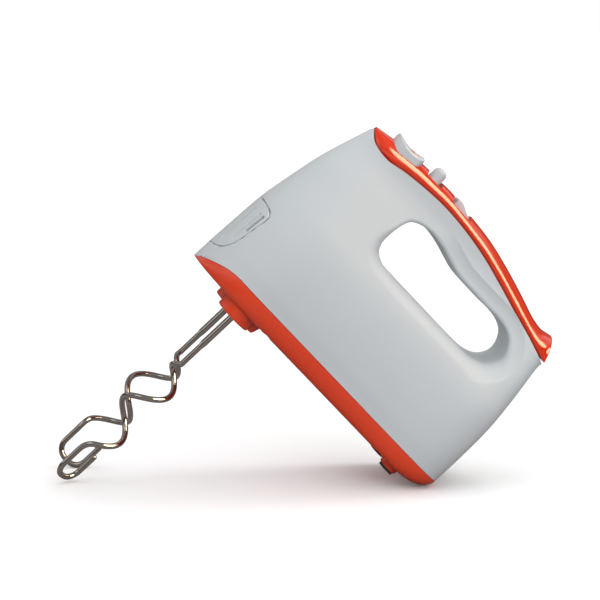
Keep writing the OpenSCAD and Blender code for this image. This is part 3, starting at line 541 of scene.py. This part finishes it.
def grille_inside(x, z):
    """Millimetres inside the insert's edge on the side view, 0 outside it."""
    edge = np.interp(z, GRILLE_EDGE[:, 0], GRILLE_EDGE[:, 1], left=-60, right=-60)
    return np.clip(edge - x, 0, 50)


def nose_ring(turned, z, out=0.0):
    """A point of the nose's plan ellipse at that height, turned from the middle line."""
    x = read(NOSE, z) + NOSE_RUN * (1 - np.cos(turned))
    y = read(SIDE, z) * np.sin(turned)
    along = np.stack([NOSE_RUN * np.sin(turned), read(SIDE, z) * np.cos(turned)], -1)
    along /= np.linalg.norm(along, axis=-1, keepdims=True)
    return np.stack([x - along[..., 1] * out, y + along[..., 0] * out, z], -1)


def groove(y, z, at, low, high, width):
    """1 in a slot of that width at y, between two heights, 0 outside."""
    across = np.clip(1.4 - np.abs(np.abs(y) - at) / (width / 2), 0, 1)
    ends = np.clip((z - low) / 1.0, 0, 1) * np.clip((high - z) / 1.0, 0, 1)
    return ease(across) * ease(ends)


# %% Grille insert
z = np.linspace(13.9, 55.2, 130)
edge_x = np.interp(z, GRILLE_EDGE[:, 0], GRILLE_EDGE[:, 1]) - 0.35
edge_turn = np.arccos(np.clip(1 - (edge_x - read(NOSE, z)) / NOSE_RUN, -1, 1))
across = np.linspace(-1, 1, 361)
turned = across[:, None] * edge_turn[None, :]
zz = np.broadcast_to(z, turned.shape)
flat_y = nose_ring(turned, zz)[..., 1]
depth = (0.9 * groove(flat_y, zz, 4.6, 18.9, 49.4, 1.5)
         + 0.9 * groove(flat_y, zz, 11.8, 21.7, 49.2, 1.5)
         + 0.9 * groove(flat_y, zz, 19.6, 25.4, 49.0, 1.4)
         + 3.6 * groove(flat_y, zz, 22.6, 34.4, 49.2, 1.5))
edge_round = 0.5 * (1 - np.clip((1 - np.abs(across[:, None])) * 26 / 0.9, 0, 1)) ** 2
grille = new_object("nose_grille_insert", [sheet(nose_ring(turned, zz, 0.1 - depth - edge_round))])
wall(grille, 1.6)
settle(grille, 50)
belongs(grille, white_abs, "body", "white_shell", "nose_grille")

# %% The two halves
for side, name, node in ((-1, "body_shell_left", "housing_left"),
                         (1, "body_shell_right", "housing_right")):
    shell = new_object(name, [sheet(body_half(side), round_rows=True)])
    wall(shell, 1.8)
    settle(shell, 40)
    belongs(shell, white_abs, "body", "white_shell", node)

# %% [markdown]
# ## Base cover
# The orange base is boat-shaped: a strip that starts as nothing at the nose tip, rises to the
# seam, and rolls under to a flat bottom. One parameter runs round its plan, the other goes down
# from the seam, round the turn of the bottom and in to the middle. The collars round the sockets,
# the fins beside them and the foot lugs are turned or sawn shapes added to it, and the screw
# recesses are cut.

# %% Turned and sawn shapes


def turned_shape(profile, centre, count=96):
    """A closed profile of (radius, height) carried round an upright axis."""
    p = np.array(profile, float)
    a = np.linspace(0, 2 * np.pi, count, endpoint=False)[:, None]
    points = np.stack([centre[0] + p[:, 0] * np.cos(a), centre[1] + p[:, 0] * np.sin(a),
                       np.broadcast_to(p[:, 1] + centre[2], (count, len(p)))], -1)
    return sheet(points, round_rows=True, round_columns=True)


def sawn_shape(outline, y0, y1, soft=0.5):
    """A side-view outline given a thickness, its edges eased, closed to a point each side."""
    p = curve(outline, 90, closed=True)[:-1]
    middle = p.mean(0)
    steps = [(y0, 0.0), (y0, 0.94), (y0 + soft * 0.3, 0.975), (y0 + soft, 1.0),
             (y1 - soft, 1.0), (y1 - soft * 0.3, 0.975), (y1, 0.94), (y1, 0.0)]
    rows = [np.column_stack([middle[0] + (p[:, 0] - middle[0]) * k, np.full(len(p), y),
                             middle[1] + (p[:, 1] - middle[1]) * k]) for y, k in steps]
    return sheet(np.stack(rows, 1), round_rows=True)


# %% Base sheet
# The seam's height above the bottom, half the width there, and how far side and heel tuck in.
SEAM_HIGH, BASE_HALF, SIDE_TUCK, HEEL_TUCK = 12.6, 42, 6, 20


def base_outline():
    """Half the plan at the seam, from nose tip to heel tip: ellipse, straight, superellipse."""
    a = np.linspace(0, np.pi / 2, 80)
    front = np.stack([NOSE_TIP + NOSE_RUN * (1 - np.cos(a)), BASE_HALF * np.sin(a)])
    back = np.stack([HEEL_TIP - HEEL_RUN * (1 - np.sin(a) ** 0.6), BASE_HALF * np.cos(a) ** 0.5])
    between = np.linspace(0, 1, 62)[1:-1]
    middle = front[:, -1:] * (1 - between) + back[:, :1] * between
    return np.concatenate([front, middle, back], 1).T


top_outline = base_outline()
seam_height = read(BASE_SEAM, top_outline[:, 0])
start_angle = np.arcsin(np.clip((SEAM_HIGH - seam_height) / SEAM_HIGH, 0, 1))
levels = []
for w in np.linspace(0, 1, 22):
    angle = start_angle + (np.pi / 2 - start_angle) * w
    z_level = SEAM_HIGH * (1 - np.sin(angle))
    dive = 1 - np.cos(angle)
    rear = np.clip((top_outline[:, 0] - 100) / 66, 0, 1) ** 2
    level_x = top_outline[:, 0] - HEEL_TUCK * dive * rear
    level_y = top_outline[:, 1] * (1 - SIDE_TUCK / BASE_HALF * dive)
    levels.append(np.column_stack([level_x, level_y, z_level]))
flat_edge = levels[-1]
for w in np.linspace(1, 0, 12)[1:]:
    levels.append(np.column_stack([flat_edge[:, 0], flat_edge[:, 1] * w, flat_edge[:, 2]]))
half_base = np.stack(levels, 1)
base_loop = np.concatenate([half_base * [1, -1, 1], half_base[::-1][1:-1]], 0)
base = new_object("base_cover_shell", [sheet(base_loop, round_rows=True)])
wall(base, 2.0)
settle(base)

# %% Collars, fins, lugs and screw recesses
SPINDLE = 22.0
COLLAR = [(5.7, -4.0), (5.7, -7.2), (6.4, -7.9), (11.5, -8.0), (12.1, -7.7), (12.4, -7.0),
          (12.4, -1.0), (12.9, -0.3), (13.6, 0.05), (13.6, 0.9), (8, 0.9), (8, -4.0)]
FIN = [(10, 0.6), (14, 0.6), (17.4, 0.5), (16.8, -2.6), (15.9, -5.6), (15.0, -6.7), (12.6, -6.9),
       (10, -6.8), (9.5, -3)]
extras = []
for y in (-SPINDLE, SPINDLE):
    extras.append(turned_shape(COLLAR, (0, y, 0)))
    extras.append(sawn_shape(FIN, y - 1.1, y + 1.1))
for y in (-24, 24):
    extras.append(turned_shape([(5.25, 0.6), (5.25, -2.9), (5.45, -3.3), (5.9, -3.3), (6.2, -2.9),
                                (6.6, -0.5), (7.4, 0.05), (7.4, 0.6)], (136.5, y, 0)))
fittings = new_object("base_collars_and_lugs", extras)
settle(fittings)
recess = new_object("recess_cutter", [
    turned_shape([(0, -3), (3.6, -3), (3.6, 2.6), (0, 2.6)], (x, s * 34.3, 0), 40)
    for x in (21.5, 123) for s in (-1, 1)])
cut(base, recess)
settle(base)
bpy.data.objects.remove(recess)
belongs(base, base_abs, "body", "base_shell", "base_cover")
belongs(fittings, base_abs, "body", "base_shell")

# %% [markdown]
# ## Controls
# The eject button is a broad saddle, pressed with the thumb; the speed knob is a round-topped
# slider; the turbo button is a low wedge. All three are blocks over a plan outline with a shaped
# top and an eased edge, so one function makes them, and the same function makes the cutters for
# the pockets they work in.

# %% Block with a shaped top


def block(plan, top, low, edge=1.0, grow=0.0):
    """Rings of the plan outline: a closed bottom at low, the wall, an eased edge of that radius,
    then rings shrinking to the middle over the top's own shape."""
    p = curve(plan, 160, closed=True)[:-1]
    middle = p.mean(0)
    away = p - middle
    reach = np.linalg.norm(away, axis=1, keepdims=True)
    away = away / reach
    rings = [np.column_stack([np.tile(middle, (len(p), 1)), np.full(len(p), low)])]
    outline = p + away * grow
    rim = top(outline[:, 0], outline[:, 1]) - edge
    for t in np.linspace(0, 1, 5):
        rings.append(np.column_stack([outline, low + (rim - low) * t]))
    for a in np.linspace(0, np.pi / 2, 7)[1:]:
        q = outline - away * edge * (1 - np.cos(a))
        rings.append(np.column_stack([q, top(q[:, 0], q[:, 1]) - edge * (1 - np.sin(a))]))
    inner = outline - away * edge
    for k in np.linspace(1, 0, 22)[1:]:
        q = middle + (inner - middle) * k
        rings.append(np.column_stack([q, top(q[:, 0], q[:, 1])]))
    return sheet(np.stack(rings, 1), round_rows=True)


def rounded(x0, x1, half, front, back):
    """A plan outline from x0 to x1, with corner radii at its front and back."""
    a = np.linspace(0, np.pi / 2, 7)
    pieces = []
    for cx, cy, r, start in ((x1 - back, half - back, back, 0), (x0 + front, half - front, front, 1),
                             (x0 + front, front - half, front, 2), (x1 - back, back - half, back, 3)):
        b = a + start * np.pi / 2
        pieces.append(np.stack([cx + r * np.cos(b), cy + r * np.sin(b)], 1))
    return np.vstack(pieces)


# %% Tops


def saddle_top(x, y):
    """A hollow along the mixer, highest at its front and back edges, and slightly crowned."""
    t = np.clip((x - 2.4) / 10.8, -1.1, 1.1)
    return 144.5 + 2.0 * t ** 2 + 0.1 * t - 0.011 * y ** 2


def knob_top(x, y):
    """A dome that falls away like a squashed ball."""
    r2 = ((x - 26.75) / 6.2) ** 2 + ((y + 4.5) / 8.5) ** 2
    return 150.0 - 2.6 * r2


def turbo_top(x, y):
    """Up steeply at its front edge, then a long slope down."""
    ridge = read(TURBO_LINE, x)
    return ridge - 0.006 * y ** 2


TURBO_LINE = curve([(44, 144.2), (46.4, 145.0), (49.5, 145.2), (52.4, 144.1), (56, 142.6),
                    (59.6, 141.4), (62, 141.0)], 200)
EJECT_PLAN = rounded(-8.4, 13.3, 13.6, 8.5, 3.2)
KNOB_PLAN = rounded(22.5, 31, 5.5, 3.6, 3.6) + [0, -4.5]
TURBO_PLAN = rounded(45.9, 59.8, 8, 1.6, 2.4)
for name, plan, top, low, edge, body, node in (
        ("eject_button_saddle", EJECT_PLAN, saddle_top, 126.6, 1.0, "eject", "eject_button"),
        ("speed_knob", KNOB_PLAN, knob_top, 130.5, 2.2, "selector", "speed_selector"),
        ("turbo_wedge", TURBO_PLAN, turbo_top, 132.5, 0.9, "turbo", "turbo_button")):
    control = new_object(name, [block(plan, top, low, edge)])
    settle(control, 45)
    belongs(control, control_abs, body, "control", node)

# %% Printed mark on the eject button
def printed(plan):
    """A thin patch of ink just above the saddle."""
    return block(plan, lambda x, y: saddle_top(x, y) + 0.06, 142.2, 0.03)


mark = new_object("eject_mark", [printed(rounded(2.8, 5.8, 2.4, 0.4, 0.4) - [0, 8]),
                                 printed(rounded(7.2, 9.2, 1.4, 0.9, 0.9) - [0, 7.5])])
settle(mark)
belongs(mark, mark_ink, "eject", "control")

# %% [markdown]
# ## Handle cover
# The orange cover caps the handle from the nose to a flared tail. Its section is a crowned arch
# that springs from the seam, as wide as the body there, so the two lie flush. The stations run
# along the mixer, and towards the tail they lean, so that the end face slopes.

# %% Cover sheet
# Two notches in the crown, as (front, back, floor), where the knob and the wedge stand.
NOTCHES = [(20.6, 32.8, 140.7), (43.4, 61.0, 140.0)]


def notched(x, z):
    """The lower of the surface and each notch's floor, with walls that rise within 0.3 mm."""
    for front, back, level in NOTCHES:
        wall_height = np.interp(x, [front - 0.3, front, back, back + 0.3], [200, level, level, 200])
        z = np.minimum(z, wall_height)
    return z


def cover_sheet(stations=260, steps=72):
    """Section: half width times cosine to the 0.96, seam height plus rise times sine to the
    0.97, which is nearly half an ellipse. It is lowered where a notch is. A flat bottom closes
    it, the front is a point and the end face shrinks to a pole."""
    crisp = [edge + step for front, back, _ in NOTCHES for edge in (front - 0.3, back)
             for step in (0, 0.1, 0.2, 0.3)]
    x_line = np.unique(np.concatenate([-21.6 + 13.1 * np.linspace(0, 1, 60) ** 1.6,
                                       np.linspace(-8.3, 152.2, stations), crisp]))
    a = np.linspace(0, np.pi, steps)
    lift = np.sin(a) ** 0.97
    lean = ease((x_line - 128) / 24)[:, None]
    x = x_line[:, None] + 5.4 * lean * (1 - lift[None, :])
    seam, crown = read(TOP_SEAM, x) + 0.6, read(CROWN, np.minimum(x, 153))
    half = half_width(np.minimum(x, 153.5), seam + 0.2)
    y = half * np.sign(np.cos(a)) * np.abs(np.cos(a)) ** 0.96
    z = notched(x, seam + (crown - seam) * lift)
    arch = np.stack([x, -y, z], -1)
    back = np.linspace(1, -1, 14)[1:-1]
    floor_row = np.stack([np.repeat(x[:, :1], 12, 1), half[:, :1] * back[None, :],
                          np.repeat(z[:, :1], 12, 1)], -1)
    ring = np.concatenate([arch, floor_row], 1)
    centre = ring[-1].mean(0)
    rows = [ring]
    for a_end in np.linspace(0, np.pi / 2, 6)[1:]:
        shrink = 1 - 0.10 * (1 - np.cos(a_end))
        bulge = np.array([0.5 * np.sin(a_end), 0, 0.2 * np.sin(a_end)])
        rows.append((centre + (ring[-1] - centre) * shrink + bulge)[None])
    for k in np.linspace(1, 0, 9)[1:]:
        rows.append((rows[5][0].mean(0) + (rows[5][0] - rows[5][0].mean(0)) * k)[None])
    tip = ring[0].mean(0)
    rows.insert(0, np.repeat(tip[None, None, :], ring.shape[1], 1))
    return sheet(np.concatenate(rows, 0), round_columns=True)


def tongue(side):
    """The rib under the cover's edge that centres it in the shells: a thin upright strip, set in
    by the shell's wall, that closes the gap along the seam."""
    x = np.linspace(-19, 153, 240)
    out = half_width(x, read(TOP_SEAM, x)) - 2.3
    corners = []
    for inset, height in ((0, 0.7), (0, -2.4), (1.2, -2.4), (1.2, 0.7)):
        corners.append(np.stack([x, side * np.maximum(out - inset, 0.2), read(TOP_SEAM, x) + height], 1))
    strip = np.stack(corners, 1)
    ends = [np.repeat(strip[k].mean(0)[None, None], 4, 1) for k in (0, -1)]
    return sheet(np.concatenate([ends[0], strip, ends[1]], 0), round_columns=True)


def flat_top(x, y):
    """A level well above the crown, so that a cutter goes right through."""
    return np.full_like(x, 160.0)


cover = new_object("handle_cover_shell", [cover_sheet()])
for name, tool in (("eject_pocket", block(EJECT_PLAN, flat_top, 126.0, 0.2, 0.4)),
                   ("knob_slot", block(rounded(21, 32.4, 10.6, 0.8, 0.8), flat_top, 136.0, 0.2)),
                   ("turbo_pocket", block(rounded(44, 60.4, 8.5, 0.8, 1.2), flat_top, 130.0, 0.2))):
    cutter = new_object(name, [tool])
    before = len(cover.data.polygons)
    cut(cover, cutter)
    settle(cover, 32)
    bpy.data.objects.remove(cutter)
    print(name, "changed", before, "faces to", len(cover.data.polygons))
belongs(cover, cover_abs, "body", "orange_shell", "handle_cover")
tongues = new_object("handle_cover_tongues", [tongue(-1), tongue(1)])
settle(tongues)
belongs(tongues, cover_abs, "body", "orange_shell")

# %% [markdown]
# ## Dough hooks
# Each hook is one bent wire: a straight shank, a widening spiral of 1.7 turns, a straight
# leg, a U-bend and a short leg back up. The wire is a circle carried along that path. Its frame
# comes from the direction across the U-bend, which the path never runs along, so it can't flip.

# %% Path of the wire
PITCH, SPIRAL, LEG, BEND = 42.15, 9.8, 9.43, 8.1
DROP = 152.96


def hook_path(phase):
    """Down the axis, round a helix whose radius eases from 0 to full, then the U."""
    leg_turn = np.radians(phase - 645.2)
    outwards = np.array([np.cos(leg_turn), np.sin(leg_turn), 0])
    down = np.linspace(51.1, 123.2, 180)
    r = SPIRAL * ease((down - 51.1) / 7.2)
    a = np.radians(phase - 360 * (down - 51.1) / PITCH)
    spiral = np.stack([r * np.cos(a), r * np.sin(a), -down], 1)
    shank = np.stack([np.zeros(60), np.zeros(60), -np.linspace(-47, 50.4, 60)], 1)
    end, way = spiral[-1], spiral[-1] - spiral[-2]
    way = way / np.linalg.norm(way) * 12
    leg = outwards * LEG + [0, 0, -133.2]
    t = np.linspace(0, 1, 14)[1:, None]
    join = ((2 * t ** 3 - 3 * t ** 2 + 1) * end + (t ** 3 - 2 * t ** 2 + t) * way
            + (3 * t ** 2 - 2 * t ** 3) * leg + (t ** 3 - t ** 2) * np.array([0, 0, -12.0]))
    b = np.radians(np.linspace(0, 90, 12))[:, None]
    corner = LEG - BEND
    level, depth = [0, 0, -DROP + BEND], np.array([0, 0, BEND])
    one = outwards * (corner + BEND * np.cos(b)) + level - depth * np.sin(b)
    two = -outwards * (corner + BEND * np.cos(b[::-1])) + level - depth * np.sin(b[::-1])
    rise = -outwards * LEG + np.array([0, 0, 1.0]) * np.linspace(-DROP + BEND + 2, -132.5, 8)[:, None]
    return np.vstack([shank, spiral, join, one, two, rise]), np.array([-outwards[1], outwards[0], 0])


def wire(path, across, radius, sides=28):
    """A circle round each point of the path, square to its direction, with rounded ends."""
    way = np.gradient(path, axis=0)
    way /= np.linalg.norm(way, axis=1, keepdims=True)
    first = across - way * (way @ across)[:, None]
    first /= np.linalg.norm(first, axis=1, keepdims=True)
    second = np.cross(way, first)
    a = np.linspace(0, 2 * np.pi, sides, endpoint=False)
    ring = first[:, None, :] * np.cos(a)[None, :, None] + second[:, None, :] * np.sin(a)[None, :, None]
    body = path[:, None, :] + ring * radius[:, None, None]
    caps = []
    for end, sign in ((0, -1), (-1, 1)):
        c = np.linspace(0, np.pi / 2, 7)[1:]
        centres = path[end] + way[end] * sign * radius[end] * np.sin(c)[:, None]
        caps.append(centres[:, None, :] + ring[end][None] * radius[end] * np.cos(c)[:, None, None])
    return sheet(np.concatenate([caps[0][::-1], body, caps[1]], 0), round_columns=True)


# %% The hooks
for name, y, phase, mirror, body, node in (
        ("left_dough_hook_wire", -SPINDLE, 154.85, 1, "left_dough_hook", "left_hook"),
        ("right_dough_hook_wire", SPINDLE, 121.85, -1, "right_dough_hook", "right_hook")):
    path, across = hook_path(phase)
    path, across = path * [1, mirror, 1], across * [1, mirror, 1]
    radius = 2.25 - 0.4 * ease((-path[:, 2] - 33) / 1.5)
    path = path + [0, y, 0]
    hook = new_object(name, [wire(path, across, radius),
                             block(rounded(-4.2, 4.2, 0.6, 0.4, 0.4) + [0, y],
                                   lambda x, y: np.full_like(x, -2.5), -6.5, 0.3)])
    settle(hook, 60)
    belongs(hook, chrome, body, "hook_steel", node)

# %% [markdown]
# ## Studio
# A pale floor, three soft lamps, and a world that shows each kind of ray something else, as a
# studio with flags and reflectors does. The lens sees plain white. Matt surfaces are lit by a pale
# room that is darker low down. Mirrors see a softbox high on the left, dark flags with pale bands
# between them, because chrome only looks like chrome with something dark to mirror, and a cream
# reflector at the right, which draws the long streak along the cover. The front fill and the lamp
# high on the right light matt surfaces only, as they are hidden from mirrors.

# %% Floor
floor = bpy.data.objects.new("floor", bpy.data.meshes.new("floor"))
floor.data.from_pydata([(-30, -30, 0), (30, -30, 0), (30, 30, 0), (-30, 30, 0)], [], [(0, 1, 2, 3)])
bpy.context.scene.collection.objects.link(floor)
paper = surface("white_paper_backdrop", "#ffffff", "#fdfdfd", (0.8, 0.9), 0.8, 0.01, drift=200)
# Card flags round a real table keep it from throwing all its light back up at the mixer.
glow = paper.node_tree
way = add(glow, "ShaderNodeLightPath")
flag = add(glow, "ShaderNodeBsdfDiffuse", values={"Color": linear("#8f8a86")})
by_type = {node.type: node for node in glow.nodes}
table, table_end = by_type["BSDF_PRINCIPLED"], by_type["OUTPUT_MATERIAL"]
table.inputs["Emission Color"].default_value = (1, 1, 1, 1)
# Far from the table the backdrop is lit on its own, as in a real studio, so it stays white.
spot = add(glow, "ShaderNodeTexCoord")
reach = add(glow, "ShaderNodeVectorMath", {"operation": "LENGTH"}, links={0: spot.outputs["Object"]})
backlight = add(glow, "ShaderNodeMapRange",
                values={"From Min": 0.3, "From Max": 2.5, "To Min": 0.05, "To Max": 0.35},
                links={"Value": reach.outputs["Value"]})
glow.links.new(backlight.outputs["Result"], table.inputs["Emission Strength"])
seen_table = add(glow, "ShaderNodeMixShader",
                 links={0: way.outputs["Is Camera Ray"], 1: flag.outputs["BSDF"],
                        2: table.outputs["BSDF"]})
glow.links.new(seen_table.outputs["Shader"], table_end.inputs["Surface"])
floor.data.materials.append(paper)

# %% Lights


def lamp(name, at, aim, size, power, colour="#ffffff", mirrored=True):
    """A soft square light at a place, turned towards what it lights, seen in mirrors or not."""
    light = bpy.data.lights.new(name, "AREA")
    light.shape, light.size, light.size_y = "RECTANGLE", size, size
    light.energy, light.color = power, linear(colour)[:3]
    holder = bpy.data.objects.new(name, light)
    away = np.array(at, float) - np.array(aim, float)
    away /= np.linalg.norm(away)
    side = np.cross([0, 0, 1], away)
    side /= np.linalg.norm(side)
    m = np.eye(4)
    m[:3, 0], m[:3, 1], m[:3, 2], m[:3, 3] = side, np.cross(away, side), away, at
    holder.matrix_world = Matrix(m.tolist())
    holder.visible_glossy = mirrored
    bpy.context.scene.collection.objects.link(holder)
    return holder


lamp("high_left_softbox", (-1.3, -1.2, 1.9), (0, 0, 0.1), 1.2, 4)
lamp("front_fill", (0.8, -1.9, 0.5), (0.03, 0, 0.1), 1.3, 21, "#f4f7ff", mirrored=False)
lamp("high_right_softbox", (1.1, 0.5, 1.7), (0, 0, 0.1), 0.7, 9, mirrored=False)

# %% World
world = bpy.data.worlds.new("studio")
bpy.context.scene.world = world
world.use_nodes = True
sky = world.node_tree
sky.nodes.clear()
ray = add(sky, "ShaderNodeTexCoord")
parts = add(sky, "ShaderNodeSeparateXYZ", links={"Vector": ray.outputs["Generated"]})
bands = add(sky, "ShaderNodeValToRGB", links={"Fac": parts.outputs["Z"]})
bands.color_ramp.elements[0].position, bands.color_ramp.elements[0].color = 0.0, linear("#6a6c6e")
bands.color_ramp.elements[1].position, bands.color_ramp.elements[1].color = 0.6, linear("#ffffff")
dark = bands.color_ramp.elements.new(0.12)
dark.color = linear("#2a2b2e")
grey = bands.color_ramp.elements.new(0.28)
grey.color = linear("#d8dadc")
ray_kind = add(sky, "ShaderNodeLightPath")
studio_air = add(sky, "ShaderNodeBackground", values={"Strength": 0.92},
                 links={"Color": bands.outputs["Color"]})
# What mirrors see of the room is darker: black flags with a few pale bands between them.
flags = add(sky, "ShaderNodeValToRGB", links={"Fac": parts.outputs["Z"]})
flags.color_ramp.elements[0].position, flags.color_ramp.elements[0].color = 0.0, linear("#2c2622")
flags.color_ramp.elements[1].position, flags.color_ramp.elements[1].color = 1.0, linear("#6c6a68")
for at, shade in ((0.1, "#1a1410"), (0.2, "#8a7c74"), (0.3, "#1c1815"), (0.44, "#ffffff"),
                  (0.58, "#4a4644"), (0.8, "#a8a6a4")):
    flags.color_ramp.elements.new(at).color = linear(shade)
# A long cream reflector at the right, seen in mirrors only, draws the streak along the cover.
REFLECTOR = np.array([0.745, -0.40, 0.53])
REFLECTOR /= np.linalg.norm(REFLECTOR)
facing = add(sky, "ShaderNodeVectorMath", {"operation": "DOT_PRODUCT"}, {1: REFLECTOR},
             {0: ray.outputs["Generated"]})
patch = add(sky, "ShaderNodeMapRange", {"interpolation_type": "SMOOTHSTEP"},
            {"From Min": 0.925, "From Max": 0.955, "To Min": 0.0, "To Max": 1.0},
            {"Value": facing.outputs["Value"]})
glare = add(sky, "ShaderNodeMix", {"data_type": "RGBA"}, {"B": (15.0, 11.2, 6.8, 1)},
            {"Factor": patch.outputs["Result"], "A": flags.outputs["Color"]})
mirror_air = add(sky, "ShaderNodeBackground", values={"Strength": 1.0},
                 links={"Color": glare.outputs["Result"]})
room = add(sky, "ShaderNodeMixShader", links={0: ray_kind.outputs["Is Glossy Ray"],
                                              1: studio_air.outputs["Background"],
                                              2: mirror_air.outputs["Background"]})
backdrop = add(sky, "ShaderNodeBackground", values={"Strength": 1.0, "Color": (1, 1, 1, 1)})
both = add(sky, "ShaderNodeMixShader", links={0: ray_kind.outputs["Is Camera Ray"]})
sky.links.new(room.outputs["Shader"], both.inputs[1])
sky.links.new(backdrop.outputs["Background"], both.inputs[2])
add(sky, "ShaderNodeOutputWorld", links={"Surface": both.outputs["Shader"]})
bpy.context.scene.view_settings.view_transform = "Standard"
print("lights and world are set")
